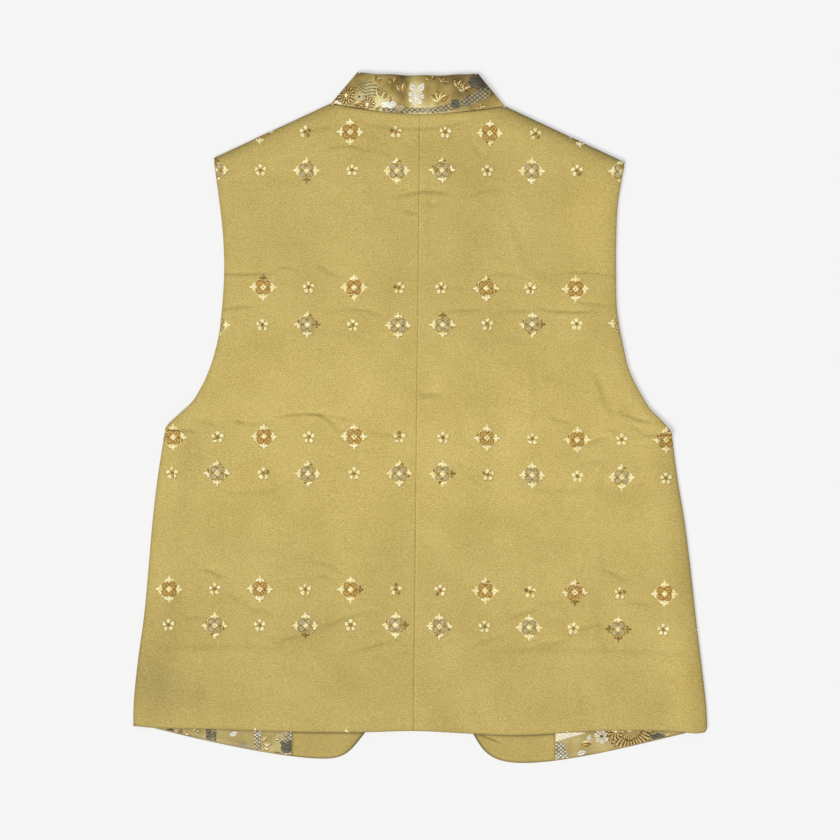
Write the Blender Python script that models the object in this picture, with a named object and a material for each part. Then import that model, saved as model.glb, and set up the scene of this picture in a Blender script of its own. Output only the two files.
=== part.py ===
"""Brocade waistcoat with a stand collar, laid flat and face down.

The fronts lie underneath with their outer face on the surface, and the back lies on top. Each half
of the back is turned over at the side and shoulder folds, and ends at the seams on the underside.
Sizes are in millimetres: "across" runs from the centre back seam to the garment's left (-X) or
right (+X), "height" from the back hem toward the neck (+Y), and z up from the surface.
The model is built in metres, with its origin under the middle of its footprint.
"""
import math
from collections import Counter, namedtuple

import bmesh
import bpy
import numpy as np

MM = 0.001

# Walls, and how the layers lie on each other
SHELL_WALL = 1.4        # outer brocade with its interlining
INNER_WALL = 1.0        # facing and lining
COLLAR_WALL = 2.0       # stand collar, stiffened
SEAM_GAP = 0.3          # between pieces that are sewn together
BACK_UNDER = 3.4        # height of the back's inner face above the surface
TOP = BACK_UNDER + SHELL_WALL
FOLD_RADIUS = TOP / 2   # outer radius of the side, shoulder and collar folds

# Cut
SHOULDER_TURN = 12.0    # from the shoulder fold to the shoulder seam
ARMHOLE_STEP = 7.0      # the front's armhole lies this far inside the back's
LAP = 12.0              # each front reaches this far past the centre front
BACK_NECK = 617.6       # height of the back neck seam at the centre back
FRONT_NECK = 547.0      # height of the front neckline at the centre front
NECK_PULLS = ((-15, -36), 44)   # the neckline's handles: off the neck point, and at the centre front
CUT_TOP = 170.0         # the rounded front corner starts at this height on the front edge
CUT_PULL = 110.0        # its handle down the front edge
BEND_PULLS = (20.0, 25.0)       # its handles below and above its bend
HEM_PULL = (-48, -12)   # the front hem's handle off the side seam
HEM_EASE = 43.0         # and at its lowest point
COLLAR_MIDDLE = 656.5   # height of the collar's top edge at the centre back
COLLAR_FRONT = 583.0    # height of the collar's top edge at the centre front
FACING_END = 34.0       # the facing's hidden end, from the centre front
FACING_TOP = 39.0       # facings and linings end this far above the back hem, hidden
LINING_INSET = 1.6      # from the front's edge to the lining
FACING_INSET = 0.8      # from the front's edge to the facing

# Buttons at the centre front
BUTTON_COUNT = 5
BUTTON_WIDE = 15.0
BUTTON_THICK = 1.6
BUTTON_LOW = 190.0
BUTTON_HIGH = 505.0

# How the layers rise over the buttons and the lap: distances across, and heights
LIFT_ACROSS = (26, 62)          # a front's lift fades out between these
BUTTON_LIFT_LOW = (55, 168)     # the lift over the buttons comes in
BUTTON_LIFT_HIGH = (522, 545)   # and goes out again below the neck
LAP_LIFT = (40, 85)             # the right front's lift over the left comes in
CROWN = 2.1                     # the back's rise over both
CROWN_ACROSS = (34, 92)
CROWN_LOW = (60, 150)
CROWN_HIGH = (555, 615)
HEM_WAVE = 0.35                 # soft wave along the back hem

# What differs between the halves: the turn at the side fold, the neck point, the collar's corner,
# the front's lowest point, the handle of its rounded corner there, the bend of that corner and the
# edge's lean from upright there in degrees, the height of its hem at the side seam, and where its
# facing ends
Half = namedtuple("Half", "name sign turn neck_across neck_height collar_across collar_height "
                          "low_across low_height cut_ease bend_across bend_height bend_lean "
                          "hem_height split_across")
LEFT = Half("left", -1, 17.0, 89.0, 627.5, 63.0, 659.0, 90.4, -28.4, 24.0, 49.3, -2.7, 38.5, 1.4, 121.0)
RIGHT = Half("right", 1, 21.4, 85.0, 626.5, 57.7, 659.0, 109.0, -30.7, 33.0, 59.4, -1.7, 30.0, 0.8, 141.0)

# Half width of the back at the side fold, from the hem up to the armpit
Width = namedtuple("Width", "height left right")
SIDE = (
    Width(2, 280.7, 294.0),
    Width(20, 280.7, 293.1),
    Width(67, 276.8, 287.7),
    Width(115, 270.8, 281.4),
    Width(163, 266.9, 275.7),
    Width(211, 263.2, 269.2),
    Width(259, 257.8, 260.9),
    Width(302, 251.3, 255.0),
)

# The same along the armhole, from the armpit up to the shoulder tip
ARMHOLE = (
    Width(302, 251.3, 255.0),
    Width(306, 247.3, 251.8),
    Width(314, 239.0, 244.5),
    Width(326, 226.0, 232.5),
    Width(338, 218.2, 225.0),
    Width(362, 207.4, 212.4),
    Width(386, 200.6, 206.1),
    Width(422, 196.0, 199.3),
    Width(459, 194.2, 197.7),
    Width(494, 195.7, 197.5),
    Width(530, 200.0, 198.9),
    Width(571.5, 206.0, 205.6),
)

# Height of the back hem along its width, which is a little uneven
Hem = namedtuple("Hem", "across height")
HEM = (
    Hem(-281, 2.6), Hem(-258, 0.9), Hem(-215, 0.6), Hem(-88, -1.9), Hem(-40, -1.0), Hem(0, 0.4),
    Hem(58, -1.8), Hem(105, -2.8), Hem(138, -1.1), Hem(187, 2.4), Hem(228, 3.2), Hem(269, 2.1),
    Hem(284, 0.8), Hem(294, 2.6),
)

# The largest creases of the back: place of the middle, length, direction, half width, depth
Crease = namedtuple("Crease", "across height length turn wide depth")
CREASES = (
    Crease(107, 421, 150, 0, 8, 0.9),
    Crease(141, 452, 114, -8, 8, 0.8),
    Crease(-153, 455, 70, -2, 8, 0.6),
    Crease(-67, 415, 70, -6, 8, 0.5),
    Crease(-106, 309, 65, -11, 8, 0.7),
    Crease(-206, 332, 58, 55, 8, 0.8),
    Crease(183, 342, 58, -68, 9, 0.8),
    Crease(-185, 140, 69, -40, 9, 0.7),
    Crease(-101, 90, 71, 13, 9, 0.6),
    Crease(151, 117, 63, 20, 9, 0.6),
    Crease(118, 91, 71, -10, 8, 0.5),
    Crease(-256, 90, 60, 88, 8, 0.7),
    Crease(190, 208, 86, -89, 10, 0.5),
)

# Rows and columns of the back's grid: heights on its outer edge, places on its hem and top edge
BACK_SIDE_ROWS = (2, 20, 46, 68, 91, 115, 140, 165, 190, 215, 240, 265, 285, 302)
BACK_ARMHOLE_ROWS = (307, 315, 326, 340, 356, 374, 392, 407, 421, 436, 453, 472, 494, 515, 535, 553)
BACK_COLUMNS = (0, 4, 15, 32, 52, 72)       # across the back neck, before the neck point
SHOULDER_COLUMNS = 7
ROLL_STEPS = 6
FRONT_ARMHOLE_ROWS = 12
FRONT_COLUMNS = 11
CORNER_PART = 0.5       # the grid's corner lies at this part of the curve below the corner's bend
NECKLINE_PARTS = (0.28, 0.46, 0.64, 0.82, 1.0)     # along the front neckline, after the shoulder seam

# Colours, linear
GOLD = (0.54, 0.42, 0.16, 1)
PATTERNED = (0.38, 0.32, 0.16, 1)
HORN = (0.16, 0.10, 0.05, 1)


def smooth(low, high, value):
    """0 below low, 1 above high, and a soft step between them."""
    part = np.clip((np.asarray(value, float) - low) / (high - low), 0, 1)
    return part * part * (3 - 2 * part)


def through(at, known, values):
    """A smooth curve through a table's rows: cubic pieces with the slopes of their neighbours."""
    known = np.asarray(known, float)
    values = np.asarray(values, float)
    at = np.asarray(at, float)
    slope = np.gradient(values, known)
    low = np.clip(np.searchsorted(known, at, side="right") - 1, 0, len(known) - 2)
    span = known[low + 1] - known[low]
    part = (at - known[low]) / span
    square, cube = part ** 2, part ** 3
    return ((2 * cube - 3 * square + 1) * values[low] + (cube - 2 * square + part) * span * slope[low]
            + (3 * square - 2 * cube) * values[low + 1] + (cube - square) * span * slope[low + 1])


def bezier(points, at):
    """Points of a cubic curve with four control points, at the given parts of its run."""
    first, second, third, last = (np.asarray(point, float) for point in points)
    at = np.asarray(at, float)[:, None]
    return ((1 - at) ** 3 * first + 3 * at * (1 - at) ** 2 * second
            + 3 * at ** 2 * (1 - at) * third + at ** 3 * last)


def half_width(half, height):
    """Half width of the back at a height, along the side fold and then the armhole."""
    height = np.asarray(height, float)
    below = through(height, [row.height for row in SIDE], [getattr(row, half.name) for row in SIDE])
    above = through(height, [row.height for row in ARMHOLE],
                    [getattr(row, half.name) for row in ARMHOLE])
    return np.where(height <= ARMHOLE[0].height, below, above)


def hem_height(across):
    """Height of the back hem; across is negative on the left."""
    return through(across, [row.across for row in HEM], [row.height for row in HEM])


def shoulder(half):
    """The shoulder fold: its tip, its neck point, and the direction square to it, into the back."""
    tip = np.array((getattr(ARMHOLE[-1], half.name), ARMHOLE[-1].height))
    neck = np.array((half.neck_across, half.neck_height))
    along = (tip - neck) / np.linalg.norm(tip - neck)
    inward = np.array((along[1], -along[0]))
    return tip, neck, along, inward


def back_neck(half, across):
    """Height of the back neck seam, a shallow bowl up to the neck point."""
    part = np.asarray(across, float) / half.neck_across
    return BACK_NECK + (half.neck_height - BACK_NECK) * part ** 2


def front_neck_curve(half):
    """Control points of the front neckline, from the neck point to the centre front."""
    neck = np.array((half.neck_across, half.neck_height))
    return neck, neck + NECK_PULLS[0], np.array((NECK_PULLS[1], FRONT_NECK)), np.array((0, FRONT_NECK))


def cutaway_curves(half):
    """Control points of the rounded front corner: from its lowest point to its bend, and on from
    there to the front edge."""
    low = np.array((half.low_across, half.low_height))
    bend = np.array((half.bend_across, half.bend_height))
    lean = math.radians(half.bend_lean)
    ahead = np.array((-math.sin(lean), math.cos(lean)))
    return ((low, low + (-half.cut_ease, 0), bend - BEND_PULLS[0] * ahead, bend),
            (bend, bend + BEND_PULLS[1] * ahead, np.array((-LAP, CUT_TOP - CUT_PULL)),
             np.array((-LAP, CUT_TOP))))


def front_hem_curve(half):
    """Control points of the front hem, from the side seam to its lowest point."""
    start = np.array((getattr(SIDE[0], half.name) - half.turn - SEAM_GAP, half.hem_height))
    low = np.array((half.low_across, half.low_height))
    return start, start + HEM_PULL, low + (HEM_EASE, 0), low


def lap_rise(half, across, height):
    """How far a front's outer face is lifted: over the buttons, and over the other front."""
    buttons = (BUTTON_THICK + SEAM_GAP) * smooth(*BUTTON_LIFT_LOW, height)
    buttons = buttons * (1 - smooth(*BUTTON_LIFT_HIGH, height))
    over = 0.0
    if half.sign > 0:
        over = (SHELL_WALL + SEAM_GAP) * smooth(*LAP_LIFT, height)
    return (buttons + over) * (1 - smooth(*LIFT_ACROSS, across))


def crown(across, height):
    """The back's soft rise over the lapped fronts and the buttons."""
    bell = 1 - smooth(*CROWN_ACROSS, np.abs(across))
    return CROWN * bell * smooth(*CROWN_LOW, height) * (1 - smooth(*CROWN_HIGH, height))


def relief(half, across, height):
    """The back's creases, and a soft wave along its hem, fading out at the folds."""
    signed = half.sign * across
    total = np.zeros_like(across)
    for crease in CREASES:
        angle = math.radians(crease.turn)
        east = signed - crease.across
        north = height - crease.height
        along = east * math.cos(angle) + north * math.sin(angle)
        away = north * math.cos(angle) - east * math.sin(angle)
        run = np.exp(-(along / (0.5 * crease.length)) ** 4)
        total -= crease.depth * run * np.exp(-(away / crease.wide) ** 2)
        total += 0.45 * crease.depth * run * np.exp(-((away - 2.2 * crease.wide) / crease.wide) ** 2)
    hem_wave = HEM_WAVE * (1 + np.sin(signed / 17 + 0.8 * np.sin(signed / 41)))
    total = total * smooth(38, 60, height) + hem_wave * (1 - smooth(5, 50, height))
    _, neck, _, inward = shoulder(half)
    from_shoulder = (across - neck[0]) * inward[0] + (height - neck[1]) * inward[1]
    armpit = SIDE[-1].height
    from_side = half_width(half, np.minimum(height, armpit)) - across
    from_side = from_side + 99 * smooth(armpit, armpit + 20, height)
    return total * smooth(4, 26, np.minimum(from_shoulder, from_side))


def coons(bottom, top, inner, outer, columns, rows):
    """A grid between four edge curves: the sum of both rulings, less the bilinear corners."""
    s = np.asarray(columns, float)[None, :, None]
    t = np.asarray(rows, float)[:, None, None]
    ruled = (1 - t) * bottom[None] + t * top[None] + (1 - s) * inner[:, None] + s * outer[:, None]
    corners = ((1 - s) * (1 - t) * bottom[0] + s * (1 - t) * bottom[-1]
               + (1 - s) * t * top[0] + s * t * top[-1])
    return ruled - corners


class Wall:
    """A cloth wall: points in pairs, on its outer and its inner face, and the cells between them."""

    def __init__(self):
        self.outer = []
        self.inner = []
        self.cells = []

    def add_grid(self, outer, inner):
        """Adds a grid of point pairs and its cells, and gives the points' numbers."""
        rows, columns = outer.shape[:2]
        first = len(self.outer)
        self.outer.extend(outer.reshape(-1, 3))
        self.inner.extend(inner.reshape(-1, 3))
        numbers = first + np.arange(rows * columns).reshape(rows, columns)
        self.add_cells(numbers)
        return numbers

    def add_cells(self, numbers):
        """Adds the cells of a grid of points."""
        for low, high in zip(numbers[:-1], numbers[1:]):
            for cell in zip(low[:-1], low[1:], high[1:], high[:-1]):
                self.cells.append([int(number) for number in cell])

    def add_strip(self, edge, outer, inner):
        """Adds rows of points that carry on from an edge that is there already."""
        columns = outer.shape[1]
        first = len(self.outer)
        self.outer.extend(outer.reshape(-1, 3))
        self.inner.extend(inner.reshape(-1, 3))
        numbers = first + np.arange(outer.shape[0] * columns).reshape(-1, columns)
        self.add_cells(np.vstack([np.asarray(edge)[None], numbers]))

    def build(self, name, material, shift):
        """Closes the wall along its rim and makes the object."""
        count = len(self.outer)
        points = (np.vstack([self.outer, self.inner]) + shift) * MM
        faces = [list(cell) for cell in self.cells]
        faces += [[number + count for number in reversed(cell)] for cell in self.cells]
        uses = Counter()
        for cell in self.cells:
            uses.update(tuple(sorted(edge)) for edge in zip(cell, cell[1:] + cell[:1]))
        for (start, end), times in uses.items():
            if times == 1:
                faces.append([end, start, start + count, end + count])
        mesh = bpy.data.meshes.new(name)
        mesh.from_pydata(points.tolist(), [], faces)
        solid = bmesh.new()
        solid.from_mesh(mesh)
        bmesh.ops.recalc_face_normals(solid, faces=solid.faces)
        solid.to_mesh(mesh)
        solid.free()
        mesh.shade_smooth()
        mesh.set_sharp_from_angle(angle=math.radians(40))
        mesh.materials.append(material)
        piece = bpy.data.objects.new(name, mesh)
        bpy.context.scene.collection.objects.link(piece)


def lift(half, plan, z):
    """Points in space from a half's plan points, mirrored onto its side."""
    return np.stack([half.sign * plan[..., 0], plan[..., 1], np.broadcast_to(z, plan.shape[:-1])], -1)


def folded(half, start, outward, wall, turn):
    """Rows that roll from the top face over a fold and then run under it to a seam.

    start holds the points where the roll begins, a fold radius inside the fold; the roll is half
    a circle round the level of their middle height."""
    outer, inner = [], []
    angles = np.linspace(0, math.pi, ROLL_STEPS + 1)[1:]
    for angle in angles:
        reach = math.sin(angle)
        rise = math.cos(angle)
        outer.append(lift(half, start + outward * FOLD_RADIUS * reach, FOLD_RADIUS * (1 + rise)))
        inside = FOLD_RADIUS - wall
        inner.append(lift(half, start + outward * inside * reach, FOLD_RADIUS + inside * rise))
    run = turn - FOLD_RADIUS
    outer.append(lift(half, start - outward * run, 0.0))
    inner.append(lift(half, start - outward * run, wall))
    return np.array(outer), np.array(inner)


def back(half):
    """One half of the back, from the centre back seam over the side and shoulder folds."""
    tip, neck, along, inward = shoulder(half)
    side_rows = np.array(BACK_SIDE_ROWS, float)
    heights = np.append(side_rows, BACK_ARMHOLE_ROWS)
    corner = tip + FOLD_RADIUS * inward
    outer = np.stack([half_width(half, heights), heights], -1)
    outer[:len(side_rows), 0] -= FOLD_RADIUS
    outer = np.vstack([outer, corner])
    middle = SEAM_GAP / 2
    centre_neck = float(back_neck(half, 0))
    rise = smooth(380, corner[1], outer[:, 1]) * (centre_neck - corner[1])
    inner = np.stack([np.full(len(outer), middle), outer[:, 1] + rise], -1)
    across = np.array(BACK_COLUMNS, float)
    across[0] = middle
    neck_part = np.stack([across, back_neck(half, across)], -1)
    neck_end = neck + FOLD_RADIUS * inward + SEAM_GAP * along
    parts = np.linspace(0, 1, SHOULDER_COLUMNS + 1)[:, None]
    top = np.vstack([neck_part, neck_end + (corner - neck_end) * parts])
    columns = (top[:, 0] - middle) / (top[-1, 0] - middle)
    reach = middle + columns * (outer[0, 0] - middle)
    bottom = np.stack([reach, hem_height(half.sign * reach)], -1)
    inner[0] = bottom[0]
    outer[0, 1] = bottom[-1, 1]
    rows = (outer[:, 1] - outer[0, 1]) / (outer[-1, 1] - outer[0, 1])
    plan = coons(bottom, top, inner, outer, columns, rows)
    under = BACK_UNDER + crown(plan[..., 0], plan[..., 1]) + relief(half, plan[..., 0], plan[..., 1])
    wall = Wall()
    numbers = wall.add_grid(lift(half, plan, under + SHELL_WALL), lift(half, plan, under))
    last = len(side_rows)
    side_edge = numbers[:last, -1]
    wall.add_strip(side_edge, *folded(half, plan[:last, -1], np.array((1.0, 0.0)), SHELL_WALL, half.turn))
    first = len(BACK_COLUMNS)
    wall.add_strip(numbers[-1, first:], *folded(half, plan[-1, first:], -inward, SHELL_WALL,
                                                SHOULDER_TURN))
    return wall


def front_neckline(half):
    """Points of the front neckline, from the shoulder seam to the centre front."""
    _, neck, _, inward = shoulder(half)
    curve = bezier(front_neck_curve(half), np.linspace(0, 1, 200))
    at_seam = np.argmax((curve - neck) @ inward >= SHOULDER_TURN + SEAM_GAP)
    return np.vstack([curve[at_seam], bezier(front_neck_curve(half), NECKLINE_PARTS)])


def front_outline(half):
    """The four edges of a front: hem, top, front edge and side."""
    tip, neck, along, inward = shoulder(half)
    turn = half.turn + SEAM_GAP
    low_rows = np.array(BACK_SIDE_ROWS, float)
    high_rows = np.linspace(SIDE[-1].height, tip[1] - SHOULDER_TURN, FRONT_ARMHOLE_ROWS + 1)[1:]
    seam = np.stack([half_width(half, low_rows) - turn, low_rows], -1)
    step = turn + (ARMHOLE_STEP - turn) * smooth(SIDE[-1].height, 345, high_rows)
    armhole = np.stack([half_width(half, high_rows) - step, high_rows], -1)
    seam_end = tip + (SHOULDER_TURN + SEAM_GAP) * inward - ARMHOLE_STEP * along
    armhole[-1] = seam_end
    outer = np.vstack([seam, armhole])
    neckline = np.vstack([(-LAP, FRONT_NECK), front_neckline(half)[::-1]])
    shoulder_points = FRONT_COLUMNS - len(neckline)
    parts = np.linspace(0, 1, shoulder_points + 1)[1:, None]
    top = np.vstack([neckline, neckline[-1] + (seam_end - neckline[-1]) * parts])
    rounded, rising = cutaway_curves(half)
    hem = bezier(front_hem_curve(half), np.linspace(1, 0, 7))
    bottom = np.vstack([bezier(rounded, np.linspace(CORNER_PART, 0, 5)), hem[1:]])
    rest = np.vstack([bezier(rounded, np.linspace(CORNER_PART, 1, 3)), bezier(rising, np.linspace(0, 1, 6))[1:]])
    straight_rows = np.linspace(CUT_TOP, FRONT_NECK, len(outer) - len(rest) + 1)[1:]
    straight = np.stack([np.full(len(straight_rows), -LAP), straight_rows], -1)
    inner = np.vstack([rest, straight])
    outer[0] = bottom[-1]
    return bottom, top, inner, outer


def run_parts(points):
    """Part of the run along a line of points, from 0 to 1."""
    steps = np.linalg.norm(np.diff(points, axis=0), axis=1)
    run = np.append(0, np.cumsum(steps))
    return run / run[-1]


def front(half):
    """One front, its outer face down."""
    bottom, top, inner, outer = front_outline(half)
    columns = (run_parts(bottom) + run_parts(top)) / 2
    plan = coons(bottom, top, inner, outer, columns, run_parts(outer))
    z = lap_rise(half, plan[..., 0], plan[..., 1])
    wall = Wall()
    wall.add_grid(lift(half, plan, z), lift(half, plan, z + SHELL_WALL))
    return wall


def front_edge(half, across):
    """Height of a front's lower edge, along its hem and its rounded corner."""
    rounded, rising = cutaway_curves(half)
    curve = np.vstack([bezier(front_hem_curve(half), np.linspace(0, 1, 60)),
                       bezier(rounded, np.linspace(0, 1, 60))[1:], bezier(rising, np.linspace(0, 1, 60))[1:]])
    return np.interp(-np.asarray(across, float), -curve[:, 0], curve[:, 1])


def inside_layer(half, start, end, inset, columns):
    """A layer on a front's inside, from its lower edge up to a straight hidden edge.

    start and end are its limits across, with the columns closer together toward the start."""
    part = np.linspace(0, 1, columns)
    across = start + (end - start) * np.sin(part * math.pi / 2)
    slope = (front_edge(half, across + 1) - front_edge(half, across - 1)) / 2
    low = front_edge(half, across) + inset * np.sqrt(1 + slope ** 2)
    rows = np.linspace(0, 1, 4)[:, None]
    height = low + (FACING_TOP - low) * rows
    plan = np.stack([np.broadcast_to(across, height.shape), height], -1)
    z = SHELL_WALL + SEAM_GAP
    wall = Wall()
    wall.add_grid(lift(half, plan, z + INNER_WALL), lift(half, plan, z))
    return wall


def collar_half(half):
    """Sections of the collar from the centre back to the centre front.

    Each section is a pair of points, at the neck seam and at the top edge, on both faces."""
    neck = np.array((half.neck_across, half.neck_height))
    crest = np.array((half.collar_across, half.collar_height))
    along = (crest - neck) / np.linalg.norm(crest - neck)
    inward = np.array((-along[1], along[0]))
    low_start = neck + FOLD_RADIUS * inward + SEAM_GAP * along
    high_start = crest + FOLD_RADIUS * inward
    across = np.array(BACK_COLUMNS, float)
    low = np.vstack([np.stack([across, back_neck(half, across) + SEAM_GAP], -1), low_start])
    part = low[:, 0] / low_start[0]
    high = np.stack([part * high_start[0],
                     COLLAR_MIDDLE + (high_start[1] - COLLAR_MIDDLE) * part ** 2], -1)
    sections = []
    for low_point, high_point in zip(low, high):
        plan = np.array((low_point, high_point))
        sections.append((plan, plan, TOP, TOP - COLLAR_WALL))
    inside = FOLD_RADIUS - COLLAR_WALL
    for angle in np.linspace(0, math.pi, ROLL_STEPS + 1)[1:]:
        plan = np.array((low_start, high_start))
        sections.append((plan - inward * FOLD_RADIUS * math.sin(angle), plan - inward * inside * math.sin(angle),
                         FOLD_RADIUS * (1 + math.cos(angle)), FOLD_RADIUS + inside * math.cos(angle)))
    neckline = front_neckline(half)
    ahead = np.gradient(neckline, axis=0)
    ahead /= np.linalg.norm(ahead, axis=1)[:, None]
    ahead[-1] = (-1, 0)
    low_run = neckline + SEAM_GAP * np.stack([ahead[:, 1], -ahead[:, 0]], -1)
    low_run[-1, 0] = SEAM_GAP
    high_run = bezier((high_start, crest + (-7, -30), (30, COLLAR_FRONT), (SEAM_GAP, COLLAR_FRONT)),
                      (0.12,) + NECKLINE_PARTS)
    over = SHELL_WALL + SEAM_GAP if half.sign > 0 else 0.0
    for low_point, high_point in zip(low_run, high_run):
        plan = np.array((low_point, high_point))
        z = over * (1 - smooth(*LIFT_ACROSS, low_point[0]))
        sections.append((plan, plan, z, z + COLLAR_WALL))
    return sections


def collar():
    """The stand collar: both halves of its sections, joined at the centre back."""
    outer, inner = [], []
    across = np.linspace(0, 1, 4)[:, None]
    for half, order in ((LEFT, -1), (RIGHT, 1)):
        sections = collar_half(half)
        if order < 0:
            sections = sections[:0:-1]
        for outer_plan, inner_plan, outer_z, inner_z in sections:
            for plan, z, face in ((outer_plan, outer_z, outer), (inner_plan, inner_z, inner)):
                line = plan[0] + (plan[1] - plan[0]) * across
                face.append(lift(half, line, z))
    wall = Wall()
    wall.add_grid(np.array(outer), np.array(inner))
    return wall


def button(number, shift, material):
    """A flat turned button with a rounded edge and a dished face, face down."""
    height = BUTTON_LOW + (BUTTON_HIGH - BUTTON_LOW) * number / (BUTTON_COUNT - 1)
    radius = BUTTON_WIDE / 2
    profile = ((radius - 2.2, 0.5), (radius - 1.0, 0.0), (radius, 0.6), (radius - 0.5, BUTTON_THICK))
    sides = 18
    angles = np.linspace(0, 2 * math.pi, sides, endpoint=False)
    rings = [np.stack([r * np.cos(angles), height + r * np.sin(angles), np.full(sides, z)], -1)
             for r, z in profile]
    points = (np.vstack(rings) + shift) * MM
    faces = [list(range(sides)), list(range(3 * sides, 4 * sides))[::-1]]
    for ring in range(len(profile) - 1):
        for side in range(sides):
            beside = (side + 1) % sides
            low, high = ring * sides, (ring + 1) * sides
            faces.append([low + side, low + beside, high + beside, high + side])
    name = f"button_{number + 1}"
    mesh = bpy.data.meshes.new(name)
    mesh.from_pydata(points.tolist(), [], faces)
    solid = bmesh.new()
    solid.from_mesh(mesh)
    bmesh.ops.recalc_face_normals(solid, faces=solid.faces)
    solid.to_mesh(mesh)
    solid.free()
    mesh.shade_smooth()
    mesh.set_sharp_from_angle(angle=math.radians(40))
    mesh.materials.append(material)
    bpy.context.scene.collection.objects.link(bpy.data.objects.new(name, mesh))


def finish(name, colour, roughness):
    """A material for one piece."""
    material = bpy.data.materials.new(name)
    material.use_nodes = True
    shader = material.node_tree.nodes["Principled BSDF"]
    shader.inputs["Base Color"].default_value = colour
    shader.inputs["Roughness"].default_value = roughness
    shader.inputs["Metallic"].default_value = 0.0
    return material


def main():
    for thing in list(bpy.data.objects):
        bpy.data.objects.remove(thing, do_unlink=True)
    walls = {"collar": (collar(), PATTERNED)}
    for half in (LEFT, RIGHT):
        walls[f"back_{half.name}"] = (back(half), GOLD)
        walls[f"front_{half.name}"] = (front(half), GOLD)
        reach = front_hem_curve(half)[0][0] - 2.0
        walls[f"lining_{half.name}"] = (
            inside_layer(half, half.split_across + SEAM_GAP, reach, LINING_INSET, 7), PATTERNED)
        walls[f"facing_{half.name}"] = (
            inside_layer(half, FACING_END, half.split_across, FACING_INSET, 12), GOLD)
    everything = np.vstack([np.vstack([wall.outer, wall.inner]) for wall, _ in walls.values()])
    low, high = everything.min(0), everything.max(0)
    shift = np.array((-(low[0] + high[0]) / 2, -(low[1] + high[1]) / 2, -low[2]))
    for name, (wall, colour) in walls.items():
        wall.build(name, finish(name, colour, 0.6), shift)
    for number in range(BUTTON_COUNT):
        button(number, shift, finish(f"button_{number + 1}", HORN, 0.3))


main()
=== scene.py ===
import math

import bpy
import numpy as np
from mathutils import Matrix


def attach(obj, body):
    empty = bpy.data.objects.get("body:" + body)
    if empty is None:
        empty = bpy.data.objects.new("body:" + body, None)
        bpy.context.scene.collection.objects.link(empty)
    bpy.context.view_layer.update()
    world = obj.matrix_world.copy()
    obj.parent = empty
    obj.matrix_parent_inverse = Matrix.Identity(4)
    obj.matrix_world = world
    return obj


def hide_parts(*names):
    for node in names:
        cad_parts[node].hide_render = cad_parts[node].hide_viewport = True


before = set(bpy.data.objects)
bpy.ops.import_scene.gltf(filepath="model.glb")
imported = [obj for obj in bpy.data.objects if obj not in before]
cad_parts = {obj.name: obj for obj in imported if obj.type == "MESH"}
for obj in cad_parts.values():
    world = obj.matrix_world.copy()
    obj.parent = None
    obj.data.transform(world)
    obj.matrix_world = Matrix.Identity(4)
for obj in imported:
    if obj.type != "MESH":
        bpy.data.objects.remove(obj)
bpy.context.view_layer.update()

# A silk brocade waistcoat, laid flat and face down. Sizes are in millimetres: across runs from the
# centre back seam, height from the back hem toward the neck, and z up from what it lies on. Each half
# is worked out on its own side and then mirrored by its sign.

place = dict(
    seam=-6.65,         # the centre back seam in the frame
    hem=-314.1,         # the back hem in the frame
    scale=0.001)        # metres for a millimetre

picture = dict(
    look=(-3.47, -2.57),    # the point straight below the camera, in the frame
    high=3000.0,            # camera above the cloth's face
    face=5.0,               # that face above the floor
    turn=0.576,             # degrees, about the line of sight
    wide=840.0,             # what the picture takes in
    film=36.0)              # the camera's sensor, across

camera = bpy.data.objects.new("camera", bpy.data.cameras.new("camera"))
camera.data.sensor_width = picture["film"]
camera.data.lens = picture["film"] * picture["high"] / picture["wide"]
camera.data.clip_end = 20
camera.location = [place["scale"] * each for each in (*picture["look"], picture["high"] + picture["face"])]
camera.rotation_euler = (0, 0, math.radians(picture["turn"]))
bpy.context.scene.collection.objects.link(camera)
bpy.context.scene.camera = camera
bpy.context.scene.view_settings.view_transform = "Standard"
print("camera placed")


def smooth(low, high, value):
    # 0 below low, 1 above high, and a soft step between them
    part = np.clip((np.asarray(value, float) - low) / (high - low), 0, 1)
    return part * part * (3 - 2 * part)


def through(at, known, values):
    # a smooth curve through a table's rows: cubic pieces with the slopes of their neighbours
    at, known, values = (np.asarray(part, float) for part in (at, known, values))
    slope = np.gradient(values, known)
    low = np.clip(np.searchsorted(known, at, side="right") - 1, 0, len(known) - 2)
    span = known[low + 1] - known[low]
    t = (at - known[low]) / span
    return ((2 * t ** 3 - 3 * t ** 2 + 1) * values[low] + (t ** 3 - 2 * t ** 2 + t) * span * slope[low]
            + (3 * t ** 2 - 2 * t ** 3) * values[low + 1] + (t ** 3 - t ** 2) * span * slope[low + 1])


def bezier(points, at):
    # points of a cubic curve with four control points, at the given parts of its run
    a, b, c, d = (np.asarray(point, float) for point in points)
    t = np.asarray(at, float)[:, None]
    return (1 - t) ** 3 * a + 3 * t * (1 - t) ** 2 * b + 3 * t ** 2 * (1 - t) * c + t ** 3 * d


def coons(bottom, top, inner, outer, columns, rows):
    # a grid between four edge curves: the sum of both rulings, less the bilinear corners
    s = np.asarray(columns, float)[None, :, None]
    t = np.asarray(rows, float)[:, None, None]
    ruled = (1 - t) * bottom[None] + t * top[None] + (1 - s) * inner[:, None] + s * outer[:, None]
    return ruled - ((1 - s) * (1 - t) * bottom[0] + s * (1 - t) * bottom[-1]
                    + (1 - s) * t * top[0] + s * t * top[-1])


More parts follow.
